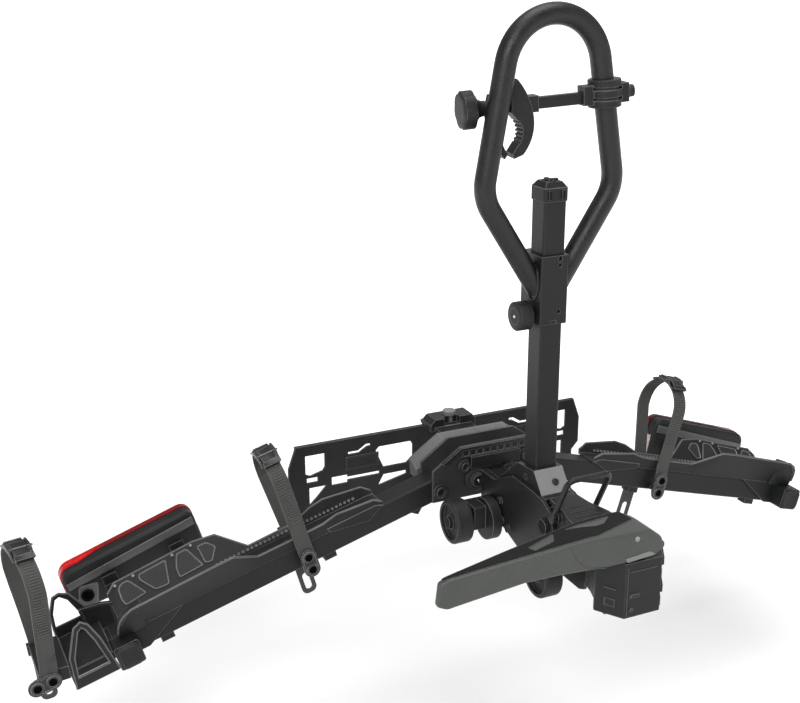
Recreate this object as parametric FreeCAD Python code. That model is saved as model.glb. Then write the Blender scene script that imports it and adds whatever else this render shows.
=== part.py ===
import FreeCAD, Part
import math
import os

# A platform bike rack that clamps on a tow ball: a coupling with a transverse lever, a tilting hub,
# two drooping fold-up wings with wheel trays, straps and lamps, a number plate holder, and a folding
# square mast whose sliding collar carries a tube loop and the bike arm.
# Frame: origin at the centre of the tow ball, +X across the vehicle, +Y away from it, +Z up.

V = FreeCAD.Vector

# Fits and sheet thicknesses
pin_fit = 0.05
run_gap = 0.3
side_gap = 0.5
sheet = 3.0
tray_sheet = 2.6

# Coupling
ball_radius = 25.0
ball_room = 0.3
housing_front = -50.0
housing_back = 48.0
housing_half_width = 51.0
housing_nose_half = 28.0
housing_bottom = -33.0
housing_top = 47.0
jaw_half_width = 14.0
jaw_top = -2.0
jaw_height = 22.0
jaw_travel = 6.0

# Coupling lever
lever_pivot_x = 8.0
lever_pivot_z = 71.0
lever_front = -54.0
lever_head_depth = 64.0
lever_tip_depth = 11.0
lever_wall = 3.0
lever_left = -303.0
lever_right = 26.0
lever_bottom = 51.0
lever_top = 95.0
lever_pin_radius = 4.0
lever_slot_front = -31.0
lever_slot_back = 3.0

# Neck between the coupling and the tilting hub
neck_half_width = 23.5
neck_plate = 4.5
neck_top = 47.0
neck_end = 166.0
tilt_y = 150.0
tilt_z = 12.0
tilt_pin_radius = 7.0

# Bail that frees the tilt
bail_y = 121.0
bail_z = 38.5
bail_wire = 3.0
bail_half_width = 33.0
bail_reach = 80.0
bail_lean = 27.0

# Transport wheels
wheel_radius = 34.0
wheel_width = 27.0
wheel_axle_radius = 5.0
front_axle_y = 108.0
front_axle_z = -36.0
front_wheel_x = 56.0
rear_axle_y = 306.0
rear_axle_z = -36.0
rear_wheel_x = 90.0

# Hub plates and spine
hub_inner = 24.2
hub_plate = 5.0
hub_back = 340.0
spine_half = 14.5
spine_bottom = -8.0
spine_top = 19.0

# Mast
mast_y = 215.0
mast_side = 35.0
mast_wall = 2.5
mast_foot = 80.0
mast_top = 473.0
mast_tail = 50.0
mast_pin_z = 62.0
mast_pin_radius = 5.0
cap_height = 27.0
button_radius = 5.0

# Collar and loop
collar_bottom = 299.0
collar_height = 99.0
collar_wall = 4.2
collar_back = 12.0
loop_tube = 30.0
loop_wall = 2.5
loop_lean = 10.0
loop_arc_radius = 74.8
loop_arc_z = 646.2
loop_bend_x = 104.4
loop_bend_z = 485.0
loop_root_x = 16.0
loop_root_z = 348.0
loop_bend_radius = 62.0
knob_radius = 22.0
knob_depth = 19.0
knob_y = 222.0
knob_z = 309.0

# Bike arm on the loop's right leg
arm_below_arc = 36.2
arm_z = loop_arc_z - arm_below_arc
arm_yaw = 8.9
arm_drop = 3.6
arm_bar_height = 16.0
arm_bar_depth = 12.0
arm_bar_end = 172.0
arm_clamp_low = -15.0
arm_clamp_high = 23.0
arm_clamp_radius = 23.0
claw_width = 26.0
arm_knob_radius = 25.5
arm_knob_length = 12.5
arm_knob_neck = 21.0

# Wing frame: u runs out along the beam from its pivot, v stands square to it
wing_pivot_x = 96.0
wing_pivot_z = -4.0
wing_droop = 16.0
beam_front = 359.0
beam_depth = 38.0
beam_height = 37.0
beam_wall = 2.2
beam_start = -18.0
beam_end = 535.0
wing_pin_radius = 6.0
tray_start = 92.0
tray_end = 516.0
tray_rim_front = 326.0
tray_rim_back = 442.0
tray_rim_height = 70.0
tray_low_height = 37.0
tray_flare_start = 300.0
tray_flare_end = 338.0

# Lamps
lamp_start = 347.0
lamp_end = 565.0
lamp_front = 524.0
lamp_depth = 24.0
lamp_bottom = -24.0
lamp_top = 64.0
lamp_taper = 10.0
lens_depth = 12.0

# Wheel straps
strap_width = 24.0
strap_sheet = 2.6
strap_u = 232.0
strap_near = 350.0
strap_keeper_y = 412.1
strap_far = 442.0
strap_rise = 165.0
strap_rim = 29.0
strap_peg_v = -14.0
strap_tail = 130.0
strap_swing = 0.0
outer_strap_near = 323.0
outer_strap_keeper_y = 410.1
outer_strap_far = 425.0
outer_strap_rise = 207.0
outer_strap_rim = 46.0
outer_strap_peg_v = 26.0
outer_strap_tail = 108.0
outer_strap_swing = 100.0
outer_strap_lean = -10.0
outer_bar_v = 28.0
peg_radius = 4.4

# Tray extension on the left wing
slide_tube_start = 400.0
cradle_start = 541.0
cradle_length = 64.0
cradle_end = cradle_start + cradle_length
outer_strap_reach = 26.0
outer_strap_u = cradle_end + outer_strap_reach
outer_bar_past = 13.0

# Centre plates, cover and number plate holder
wing_plate = 4.0
wing_plate_half = 107.0
wing_plate_top_half = 59.0
wing_plate_top = 62.0
wing_plate_bottom = -24.0
wing_plate_shoulder = 29.0
cover_front = 409.0
cover_depth = 27.0
cover_half = 110.0
cover_top = 45.0
cover_rise = 11.0
cover_sheet = 3.0
plate_y = 538.0
plate_half = 266.0
plate_lug = 279.0
plate_top = 28.0
plate_bottom = -94.0
plate_sheet = 2.5
plate_hinge_z = -88.0
plate_eye = 6.2
latch_y = 506.0
latch_half = 42.0
latch_top = 53.0


def box(x, y, z):
    return Part.makeBox(x[1] - x[0], y[1] - y[0], z[1] - z[0], V(x[0], y[0], z[0]))


def spot(axis, a, b, height):
    if axis == "x":
        return V(height, a, b)
    if axis == "y":
        return V(a, height, b)
    return V(a, b, height)


def prism(axis, outline, low, high):
    points = [spot(axis, a, b, low) for a, b in outline]
    face = Part.Face(Part.makePolygon(points + points[:1]))
    return face.extrude(spot(axis, 0, 0, high - low))


def rod(axis, a, b, low, high, radius):
    return Part.makeCylinder(radius, high - low, spot(axis, a, b, low), spot(axis, 0, 0, 1))


def ring(axis, a, b, low, high, radius, hole):
    return rod(axis, a, b, low, high, radius).cut(rod(axis, a, b, low - 1, high + 1, hole))


def cone(axis, a, b, low, high, radius_low, radius_high):
    start = spot(axis, a, b, low)
    return Part.makeCone(radius_low, radius_high, high - low, start, spot(axis, 0, 0, 1))


def joined(shapes):
    whole = shapes[0].fuse(list(shapes[1:]))
    return whole.removeSplitter()


def rounded(shape, radius, wanted):
    edges = [edge for edge in shape.Edges if wanted(edge)]
    return shape.makeFillet(radius, edges)


def runs_along(axis, shortest=0.0):
    way = spot(axis, 0, 0, 1)

    def test(edge):
        if not isinstance(edge.Curve, Part.Line) or edge.Length < shortest:
            return False
        return abs(edge.tangentAt(edge.FirstParameter).dot(way)) > 0.999
    return test


def turned(shape, origin, axis, angle):
    moved = shape.copy()
    moved.rotate(origin, axis, angle)
    return moved


def moved(shape, x=0.0, y=0.0, z=0.0):
    copy = shape.copy()
    copy.translate(V(x, y, z))
    return copy


def mirrored(shape):
    return shape.mirror(V(0, 0, 0), V(1, 0, 0))


def loft(sections):
    wires = [Part.makePolygon(points + points[:1]) for points in sections]
    return Part.makeLoft(wires, True, True)


def flat_sided(first, last):
    # A solid between two like outlines whose sides are all flat
    sides = [first, last]
    for here in range(len(first)):
        after = (here + 1) % len(first)
        sides.append([first[here], first[after], last[after], last[here]])
    faces = [Part.Face(Part.makePolygon(points + points[:1])) for points in sides]
    return Part.Solid(Part.makeShell(faces)).removeSplitter()


def ribbon(steps, thickness, low, high):
    # A band of even thickness in the plane square to X. Each step is a point, or a pair of points
    # for an arc.
    edges = []
    here = steps[0]
    for step in steps[1:]:
        if isinstance(step[0], tuple):
            middle, end = step
            curve = Part.Arc(V(low, *here), V(low, *middle), V(low, *end))
        else:
            end = step
            curve = Part.LineSegment(V(low, *here), V(low, *end))
        edges.append(curve.toShape())
        here = end
    face = Part.Wire(edges).makeOffset2D(thickness, 0, True, True)
    return face.extrude(V(high - low, 0, 0))


# Coupling

def coupling_housing():
    right = [(housing_nose_half, housing_front), (housing_half_width, housing_front + 37),
             (housing_half_width - 4, housing_front + 44), (34, 12), (27, 32), (24, housing_back)]
    outline = right + [(-x, y) for x, y in reversed(right)]
    body = prism("z", outline, housing_bottom, housing_top)
    body = rounded(body, 2.5, runs_along("z"))
    seat = ball_radius + ball_room
    body = body.cut(rod("z", 0, 0, housing_bottom - 1, 0, seat))
    body = body.cut(Part.makeSphere(seat, V(0, 0, 0)))
    jaw_room = box((-jaw_half_width - run_gap, jaw_half_width + run_gap),
                   (0, housing_back - neck_plate),
                   (housing_bottom - 1, jaw_top + run_gap))
    body = body.cut(jaw_room)
    for side in (-1, 1):
        foot = box((side * 36 - 5, side * 36 + 5), (-24, -6), (housing_bottom - 3.5, housing_bottom))
        body = body.fuse(foot)
    trigger = box((-20, -6), (housing_front - 1.6, housing_front + 1), (-4, 0))
    bump = rod("y", -17, -22, housing_front - 1.6, housing_front + 1, 2.5)
    post = box((lever_pivot_x - 9, lever_pivot_x + 1.5), (lever_slot_front + 1, lever_slot_back - 1),
               (housing_top - 1, lever_pivot_z))
    boss = rod("y", lever_pivot_x, lever_pivot_z, lever_slot_front + 1, lever_slot_back - 1, 8.5)
    body = joined([body, trigger, bump, post, boss])
    return body.cut(rod("y", lever_pivot_x, lever_pivot_z, -60, 60, lever_pin_radius + pin_fit))


def coupling_jaw():
    seat = ball_radius + ball_room
    low = jaw_top - jaw_height
    body = box((-jaw_half_width, jaw_half_width), (0, housing_back - neck_plate - jaw_travel - 1),
               (low, jaw_top))
    reach = rod("z", 0, 0, low - 1, jaw_top + 1, seat)
    body = body.cut(reach)
    return body.cut(Part.makeSphere(seat, V(0, 0, 0)))


def lever_outline(inset):
    left = lever_left + inset
    right = lever_right - inset
    top = lever_top - inset
    low = lever_bottom + inset
    return [(left + 14, low - 5), (left + 120, low + 6), (left + 172, low + 5), (left + 242, low),
            (right - 16, low), (right - 3, low + 7), (right, low + 17), (right - 4, low + 27),
            (right - 21, top - 4), (left + 223, top + 1), (left + 186, top), (left + 87, top - 5),
            (left + 18, top - 9), (left + 4, top - 12), (left, low + 1)]


def lever_plan(inset):
    front = lever_front + inset
    back = lever_front + lever_head_depth - inset
    tip = lever_front + lever_tip_depth - inset
    return [(lever_left - 1 + inset, front), (lever_right + 1 - inset, front),
            (lever_right + 1 - inset, back), (lever_left + 283, back), (lever_left - 1 + inset, tip)]


def coupling_lever():
    shell = prism("y", lever_outline(0), lever_front, lever_front + lever_head_depth)
    shell = shell.common(prism("z", lever_plan(0), 0, 120))
    hollow = prism("y", [(x, z - (3 if z < lever_top - 20 else 0)) for x, z in lever_outline(lever_wall)],
                   lever_front - 1, lever_front + lever_head_depth + 1)
    hollow = hollow.common(prism("z", lever_plan(lever_wall), 0, 120))
    hollow = hollow.common(box((lever_left + 30, lever_right - 46), (-100, 100), (0, 120)))
    shell = shell.cut(hollow)
    facet = prism("x", [(lever_front - 1, lever_top - 10), (lever_front - 1, lever_top + 3),
                        (lever_front + 26, lever_top + 3)], lever_left + 222, lever_right + 1)
    shell = shell.cut(facet)
    for left, right, depth in ((lever_left + 131, lever_left + 171, 24), (lever_left + 188, lever_left + 262, 34)):
        window = prism("z", [(left, lever_front + 16), (right, lever_front + 16),
                             (right + 8, lever_front + depth + 11), (left + 22, lever_front + depth)],
                       lever_top - 16, lever_top + 3)
        shell = shell.cut(window)
    bore = rod("y", lever_pivot_x, lever_pivot_z, lever_front - 1, lever_front + lever_head_depth + 1,
               lever_pin_radius + pin_fit)
    slot = box((lever_pivot_x - 20.5, lever_pivot_x + 20.5), (lever_slot_front, lever_slot_back),
               (lever_bottom - 6, lever_pivot_z + 13))
    return shell.cut(bore).cut(slot)


def lever_pin():
    front = lever_front + 4
    back = lever_front + lever_head_depth - 1
    return rod("y", lever_pivot_x, lever_pivot_z, front, back, lever_pin_radius)


# Neck, tilt pin, bail and front wheels

def neck_frame():
    outline = [(housing_back, -20), (housing_back, neck_top), (140, neck_top), (neck_end, 26),
               (neck_end, 0), (152, -4), (126, -18), (118, -47), (64, -47), (52, -42)]
    inner = neck_half_width - neck_plate
    ears = [prism("x", outline, -neck_half_width, -inner), prism("x", outline, inner, neck_half_width)]
    deck = box((-neck_half_width, neck_half_width), (housing_back, 138), (neck_top - neck_plate, neck_top))
    back = box((-neck_half_width, neck_half_width), (housing_back, housing_back + neck_plate), (-30, neck_top))
    body = joined(ears + [deck, back])
    body = body.cut(rod("x", tilt_y, tilt_z, -40, 40, tilt_pin_radius + pin_fit))
    body = body.cut(rod("x", front_axle_y, front_axle_z, -40, 40, wheel_axle_radius + pin_fit))
    return body


def neck_cover():
    low = neck_top
    edge = 30.0
    right = [(edge, 16), (edge + 4, 60), (edge + 3, 84), (24, 118), (22, 150)]
    outline = right + [(-x, y) for x, y in reversed(right)]
    body = prism("z", outline, low, low + 6)
    skirt = prism("z", outline, low - 12, low)
    keep = box((-neck_half_width - 0.2, neck_half_width + 0.2), (-20, 160), (0, low))
    side = box((-60, 60), (housing_back + 2, 84), (0, 80))
    return joined([body, skirt.cut(keep).common(side)])


def tilt_pin():
    end = hub_inner + hub_plate
    pin = rod("x", tilt_y, tilt_z, -end - 5, end + 5, tilt_pin_radius)
    heads = [rod("x", tilt_y, tilt_z, end + 0.4, end + 5, 11), rod("x", tilt_y, tilt_z, -end - 5, -end - 0.4, 11)]
    return joined([pin] + heads)


def bail_ears():
    ears = []
    for side in (-1, 1):
        low, high = sorted((side * neck_half_width, side * (bail_half_width - bail_wire - run_gap)))
        ears.append(rod("x", bail_y, bail_z, low, high, 8))
        low, high = sorted((side * neck_half_width, side * (bail_half_width + bail_wire + 1)))
        ears.append(rod("x", bail_y, bail_z, low, high, 3))
    return ears


def tilt_bail():
    corner = 9.0
    top = bail_reach
    half = bail_half_width
    path = [Part.LineSegment(V(-half, 0, 0), V(-half, 0, top - corner)).toShape(),
            Part.Arc(V(-half, 0, top - corner),
                     V(-half + corner * (1 - math.sqrt(0.5)), 0, top - corner * (1 - math.sqrt(0.5))),
                     V(-half + corner, 0, top)).toShape(),
            Part.LineSegment(V(-half + corner, 0, top), V(half - corner, 0, top)).toShape(),
            Part.Arc(V(half - corner, 0, top),
                     V(half - corner * (1 - math.sqrt(0.5)), 0, top - corner * (1 - math.sqrt(0.5))),
                     V(half, 0, top - corner)).toShape(),
            Part.LineSegment(V(half, 0, top - corner), V(half, 0, 0)).toShape()]
    circle = Part.makeCircle(bail_wire, V(-half, 0, 0), V(0, 0, 1))
    wire = Part.Wire(path).makePipeShell([Part.Wire(circle)], True, False)
    eyes = [rod("x", 0, 0, side * half - bail_wire, side * half + bail_wire, 6.5) for side in (-1, 1)]
    body = joined([wire] + eyes).cut(rod("x", 0, 0, -60, 60, 3 + pin_fit))
    body = turned(body, V(0, 0, 0), V(1, 0, 0), bail_lean)
    return moved(body, 0, bail_y, bail_z)


def transport_wheel(x, y, z, outward):
    half = wheel_width / 2
    body = rod("x", 0, 0, -half, half, wheel_radius)
    body = rounded(body, 3, lambda edge: edge.Length > 6 * wheel_radius - 10)
    body = body.cut(ring("x", 0, 0, half - 6, half + 1, wheel_radius - 6, 12))
    body = body.cut(rod("x", 0, 0, half - 2, half + 1, 12))
    body = body.cut(ring("x", 0, 0, -half - 1, -half + 6, wheel_radius - 6, 12))
    body = body.cut(rod("x", 0, 0, -half - 1, half + 1, wheel_axle_radius + pin_fit))
    if outward < 0:
        body = mirrored(body)
    return moved(body, x, y, z)


def axle(y, z, wheel_x):
    end = wheel_x + wheel_width / 2 + 3
    bar = rod("x", y, z, -end, end, wheel_axle_radius)
    caps = []
    for side in (-1, 1):
        face = side * (wheel_x + wheel_width / 2 - 1.5)
        low, high = sorted((face, side * end))
        caps.append(rod("x", y, z, low, high, 9))
        inner = side * (wheel_x - wheel_width / 2 - 0.4)
        low, high = sorted((inner, inner - side * 6))
        caps.append(rod("x", y, z, low, high, 10))
    return joined([bar] + caps)


# Tilting hub

def hub_outline():
    return [(128, 12), (134, 36), (162, 49), (196, 52), (246, 52), (300, 24), (hub_back, 24),
            (hub_back, -24), (330, -24), (326, -50), (288, -50), (280, -40), (255, -46), (218, -58), (142, -8)]


def hub_side(side):
    low, high = sorted((side * hub_inner, side * (hub_inner + hub_plate)))
    body = prism("x", hub_outline(), low, high)
    body = body.cut(rod("x", tilt_y, tilt_z, low - 1, high + 1, tilt_pin_radius + pin_fit))
    body = body.cut(rod("x", rear_axle_y, rear_axle_z, low - 1, high + 1, wheel_axle_radius + pin_fit))
    bolt_spots = ((278, -2), (272, -32), (252, -38))
    outside = side * (hub_inner + hub_plate)
    heads = []
    for y, z in bolt_spots:
        low, high = sorted((outside, outside + side * 4))
        heads.append(rod("x", y, z, low, high, 5.5))
    return joined([body] + heads)


def hub_spine():
    back = beam_front - run_gap - wing_plate
    tube = box((-spine_half, spine_half), (250, back), (spine_bottom, spine_top))
    hollow = box((3 - spine_half, spine_half - 3), (249, back + 1), (spine_bottom + 3, spine_top - 3))
    flanges = [tube.cut(hollow)]
    for side in (-1, 1):
        a, b = sorted((side * spine_half, side * hub_inner))
        flanges.append(box((a, b), (256, 300), (spine_bottom, spine_top)))
    return joined(flanges)


def mast_bracket():
    inner = mast_side / 2 + side_gap
    outer = hub_inner
    outline = [(193, mast_foot), (239, mast_foot - 4), (300, 25), (284, 22), (169, 50)]
    sides = []
    for side in (-1, 1):
        a, b = sorted((side * inner, side * outer))
        sides.append(prism("x", outline, a, b))
    front = prism("x", [(193, mast_foot), (196.9, mast_foot), (172.9, 50), (169, 50)], -inner - 1, inner + 1)
    lip = box((-outer, outer), (158, 172.5), (47, 50))
    web = box((-outer, outer), (169, 172.5), (30, 50.5))
    floor = box((-inner - 1, inner + 1), (262, 284), (26, 30))
    feet = []
    for side in (-1, 1):
        a, b = sorted((side * (outer - 3), side * outer))
        feet.append(prism("x", [(169, 50), (169, 30), (250, 20), (284, 22)], a, b))
    body = joined(sides + [front, lip, web, floor] + feet)
    body = body.cut(rod("x", mast_y, mast_pin_z, -40, 40, mast_pin_radius + pin_fit))
    return body.cut(on_front_slope(rod("y", 0, 0, -12, 12, button_radius + run_gap)))


def mast_button():
    body = joined([rod("y", 0, 0, -5, 2, button_radius), rod("y", 0, 0, 1.2, 2.6, button_radius + 2)])
    body = rounded(body, 1.6, lambda edge: edge.BoundBox.YMax < -4.9)
    return on_front_slope(body)


def on_front_slope(shape):
    slope = math.degrees(math.atan2(24, 30))
    return moved(turned(shape, V(0, 0, 0), V(1, 0, 0), -slope), 5, 181, 61.5)


def wing_plate_outline():
    half = wing_plate_half
    top = wing_plate_top_half
    return [(-half, wing_plate_bottom), (half, wing_plate_bottom), (half, wing_plate_shoulder),
            (top, wing_plate_top), (-top, wing_plate_top), (-half, wing_plate_shoulder)]


def wing_plate_at(front):
    body = prism("y", wing_plate_outline(), front, front + wing_plate)
    for side in (-1, 1):
        body = body.cut(rod("y", side * wing_pivot_x, wing_pivot_z, front - 1, front + wing_plate + 1,
                            wing_pin_radius + pin_fit))
        body = body.cut(rod("y", side * 54, 31, front - 1, front + wing_plate + 1, 5 + pin_fit))
        body = body.cut(rod("y", side * 32, 5, front - 1, front + wing_plate + 1, 12))
    return body


def front_channel():
    back = beam_front - run_gap - wing_plate
    bar = box((-44, 44), (back - 8, back), (26, 45))
    strip = prism("y", [(-88, 36), (-57, 57), (57, 57), (88, 36), (92, 40), (60, 61.5), (-60, 61.5), (-92, 40)],
                  back - 5, back)
    slots = []
    for index in range(9):
        x = -50 + 12.5 * index
        slots.append(box((x - 4.8, x + 4.8), (back - 6, back - 2), (46.5, 55)))
    panel = box((-58, 58), (back - 3, back), (45, 57))
    body = joined([bar, strip, panel])
    for slot in slots:
        body = body.cut(slot)
    return body


def hub_fasteners():
    front = beam_front - run_gap - wing_plate
    back = beam_front + beam_depth + run_gap + wing_plate
    pins = []
    for side in (-1, 1):
        x = side * wing_pivot_x
        pins.append(joined([rod("y", x, wing_pivot_z, front, back, wing_pin_radius),
                            rod("y", x, wing_pivot_z, front - 4, front, 9.5),
                            rod("y", x, wing_pivot_z, back, back + 4, 9.5)]))
        x = side * 54
        pins.append(joined([rod("y", x, 31, front, back, 5),
                            rod("y", x, 31, front - 4, front, 8.5),
                            rod("y", x, 31, back, back + 4, 8.5)]))
    pins.append(rod("x", mast_y, mast_pin_z, -hub_inner, hub_inner, mast_pin_radius))
    pins.append(rod("x", plate_y - 8, plate_hinge_z, -60, 60, 3))
    return Part.Compound(pins)


def lock_button(side):
    front = beam_front - run_gap - wing_plate
    body = joined([rod("y", side * 32, 5, front - 7, front + 14, 11.4),
                   rod("y", side * 32, 5, front + 6, front + 9, 14)])
    body = body.cut(rod("y", side * 32, 5, front - 8, front - 4, 7))
    return body.fuse(rod("y", side * 32, 5, front - 4, front - 1, 3.4))


def lock_rings():
    front = beam_front - run_gap - wing_plate
    rings = [ring("y", side * 32, 5, front - 5, front, 17, 11.4 + run_gap) for side in (-1, 1)]
    return rings


def axle_carrier():
    outer = rear_wheel_x - wheel_width / 2 - 8
    inner = hub_inner + hub_plate
    parts = []
    for side in (-1, 1):
        a, b = sorted((side * inner, side * outer))
        beam = box((a, b), (288, 326), (-50, -12))
        beam = rounded(beam, 3, runs_along("x"))
        a, b = sorted((side * (inner + 4.5), side * (inner + 20)))
        drum = rod("x", rear_axle_y - 10, rear_axle_z, a, b, wheel_radius - 1)
        parts.append(joined([beam, drum]).cut(rod("x", rear_axle_y, rear_axle_z, -90, 90,
                                                  wheel_axle_radius + pin_fit)))
    return Part.Compound(parts)


def cover_section(y, rise, wall, foot):
    right = [(60 - wall / 2, cover_top + rise - wall), (cover_half - wall, cover_top + rise - 34 - wall / 2),
             (cover_half - 3 - wall, foot)]
    return [V(-x, y, z) for x, z in reversed(right)] + [V(x, y, z) for x, z in right]


def centre_cover():
    back = cover_front + cover_depth
    body = loft([cover_section(cover_front, 0, 0, -6), cover_section(cover_front + 21, cover_rise, 0, -6),
                 cover_section(back, cover_rise, 0, -6)])
    inner = loft([cover_section(cover_front - 21, -cover_rise, 5, -8),
                  cover_section(cover_front + 21, cover_rise, 5, -8),
                  cover_section(back - cover_sheet, cover_rise, 5, -8)])
    return body.cut(inner)


def cover_stays():
    back = beam_front + beam_depth + run_gap + wing_plate
    return [rod("y", side * 48, cover_top - 2.5, back, cover_front, 2.2) for side in (-1, 1)]


# Number plate holder

def plate_support():
    back = beam_front + beam_depth + run_gap + wing_plate
    outline = [(back, 4), (back, -14), (plate_y - 12, plate_hinge_z - plate_eye),
               (plate_y - 4, plate_hinge_z - plate_eye), (plate_y - 4, plate_hinge_z + plate_eye),
               (plate_y - 12, plate_hinge_z + 9)]
    arms = []
    for side in (-1, 1):
        a, b = sorted((side * 52, side * 58))
        arm = prism("x", outline, a, b)
        arm = arm.cut(rod("x", plate_y - 8, plate_hinge_z, -80, 80, 3 + pin_fit))
        a, b = sorted((side * 40, side * 58))
        foot = box((a, b), (back, back + 4), (-14, 4))
        arms.append(joined([arm, foot]))
    tie = box((-52, 52), (plate_y - 40, plate_y - 36), (-79, -64))
    return joined(arms + [tie])


def holder_outline():
    half = plate_half
    lug = plate_lug
    return [(-half, plate_top), (half, plate_top), (lug, plate_top - 36), (lug, plate_top - 84),
            (half, plate_top - 98), (half, plate_bottom), (-half, plate_bottom), (-half, plate_top - 98),
            (-lug, plate_top - 84), (-lug, plate_top - 36)]


def plate_window(outline):
    return prism("y", outline, plate_y - 5, plate_y + 5)


def number_plate_holder():
    body = prism("y", holder_outline(), plate_y, plate_y + plate_sheet)
    rail = box((-plate_half, plate_half), (plate_y, plate_y + 7), (plate_top - 5, plate_top))
    sill = box((-plate_half, plate_half), (plate_y, plate_y + 7), (plate_bottom, plate_bottom + 5))
    body = joined([body, rail, sill])
    windows = [
        [(-252, 14), (-218, 14), (-218, -10), (-222, -16), (-244, -22), (-252, -18)],
        [(-250, -26), (-231, -26), (-231, -34), (-250, -34)],
        [(-246, -44), (-216, -44), (-233, -62), (-246, -74)],
        [(-176, 8), (-158, 8), (-144, 17), (-136, 17), (-136, 13), (-142, 13), (-157, 4), (-176, 4)],
        [(-206, -32), (-178, -32), (-178, -36), (-120, -36), (-120, -41), (-178, -41), (-178, -46), (-206, -46)],
        [(-126, 2), (-120, 8), (-62, 8), (-58, 2), (-58, -20), (-70, -30), (-112, -30)],
        [(-122, -62), (-112, -44), (-70, -44), (-70, -50)]]
    for outline in windows:
        body = body.cut(plate_window([(x + 3, z - 4) for x, z in outline]))
        body = body.cut(plate_window([(-x - 3, z - 4) for x, z in outline]))
    knuckle = joined([ring("x", plate_y - 8, plate_hinge_z, -46, 46, 6.5, 3 + pin_fit),
                      box((-46, 46), (plate_y - 3, plate_y), (plate_hinge_z - 5, plate_hinge_z + 5))])
    body = joined([body, knuckle])
    return body.cut(rod("x", plate_y - 8, plate_hinge_z, -50, 50, 3 + pin_fit))


def latch_housing():
    back = cover_front + cover_depth
    top = latch_top
    outline = [(-latch_half, top - 20), (-latch_half, top - 9), (-latch_half + 9, top), (latch_half - 6, top),
               (latch_half, top - 9), (latch_half, top - 20)]
    body = prism("y", outline, latch_y - 12, latch_y + 22)
    body = body.cut(prism("y", [(-16, top - 13), (-16, top + 1), (12, top + 1), (12, top - 13)],
                          latch_y - 13, latch_y - 2))
    body = body.cut(rod("z", 0, latch_y + 4, top - 18, top + 10, 6 + run_gap))
    tongue = box((-latch_half + 8, latch_half - 8), (back, latch_y - 10), (top - 19, top - 14))
    hook = box((-34, 34), (latch_y + 22, plate_y + 12), (plate_top + 2, top - 17))
    return joined([body, tongue, hook])


def latch_knob():
    top = latch_top + 8
    body = joined([rod("z", 0, latch_y + 4, latch_top - 17, top - 2, 6),
                   rod("z", 0, latch_y + 4, latch_top + run_gap, top, 11)])
    body = rounded(body, 2, lambda edge: edge.BoundBox.ZMin > top - 0.1)
    return body


# Mast, collar and loop

def mast_tube():
    half = mast_side / 2
    tube = box((-half, half), (mast_y - half, mast_y + half), (mast_tail, mast_top))
    tube = rounded(tube, 3, runs_along("z"))
    inner = half - mast_wall
    tube = tube.cut(box((-inner, inner), (mast_y - inner, mast_y + inner), (mast_tail - 1, mast_top + 1)))
    return tube.cut(rod("x", mast_y, mast_pin_z, -30, 30, mast_pin_radius + pin_fit))


def mast_cap():
    half = mast_side / 2 + 1.6
    skirt = box((-half, half), (mast_y - half, mast_y + half), (mast_top, mast_top + cap_height - 8))
    skirt = rounded(skirt, 4, runs_along("z"))
    narrow = half - 7
    crown = loft([
        [V(-half + 1.2, mast_y - half + 1.2, mast_top + cap_height - 8),
         V(half - 1.2, mast_y - half + 1.2, mast_top + cap_height - 8),
         V(half - 1.2, mast_y + half - 1.2, mast_top + cap_height - 8),
         V(-half + 1.2, mast_y + half - 1.2, mast_top + cap_height - 8)],
        [V(-narrow, mast_y - narrow, mast_top + cap_height), V(narrow, mast_y - narrow, mast_top + cap_height),
         V(narrow, mast_y + narrow, mast_top + cap_height), V(-narrow, mast_y + narrow, mast_top + cap_height)]])
    plug_half = mast_side / 2 - mast_wall
    plug = box((-plug_half, plug_half), (mast_y - plug_half, mast_y + plug_half), (mast_top - 20, mast_top))
    return joined([skirt, crown, plug])


def collar():
    half = mast_side / 2 + run_gap
    out = half + collar_wall
    top = collar_bottom + collar_height
    body = box((-out, out), (mast_y - out, mast_y + out + collar_back), (collar_bottom, top))
    body = rounded(body, 2.5, runs_along("z"))
    body = body.cut(box((-half, half), (mast_y - half, mast_y + half), (collar_bottom - 1, top + 1)))
    pocket = box((-half + 4, half - 4), (mast_y + half + 4, mast_y + out + collar_back - 4),
                 (collar_bottom - 1, top - 6))
    body = body.cut(pocket)
    front = mast_y - out
    slot = joined([rod("y", 8, top - 14, front - 1, front + collar_wall + 0.2, 2.6),
                   box((5.4, 10.6), (front - 1, front + collar_wall + 0.2), (top - 8, top - 1.5))])
    body = body.cut(slot)
    body = body.cut(rod("y", 8, collar_bottom + 18, front - 1, front + collar_wall + 0.2, 2.8))
    body = body.cut(box((-4, 4), (front - 1, front + 1.5), (collar_bottom - 1, collar_bottom + 6)))
    return body.cut(rod("x", knob_y, knob_z, -out - 1, -half + 1, 5 + run_gap))


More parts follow.
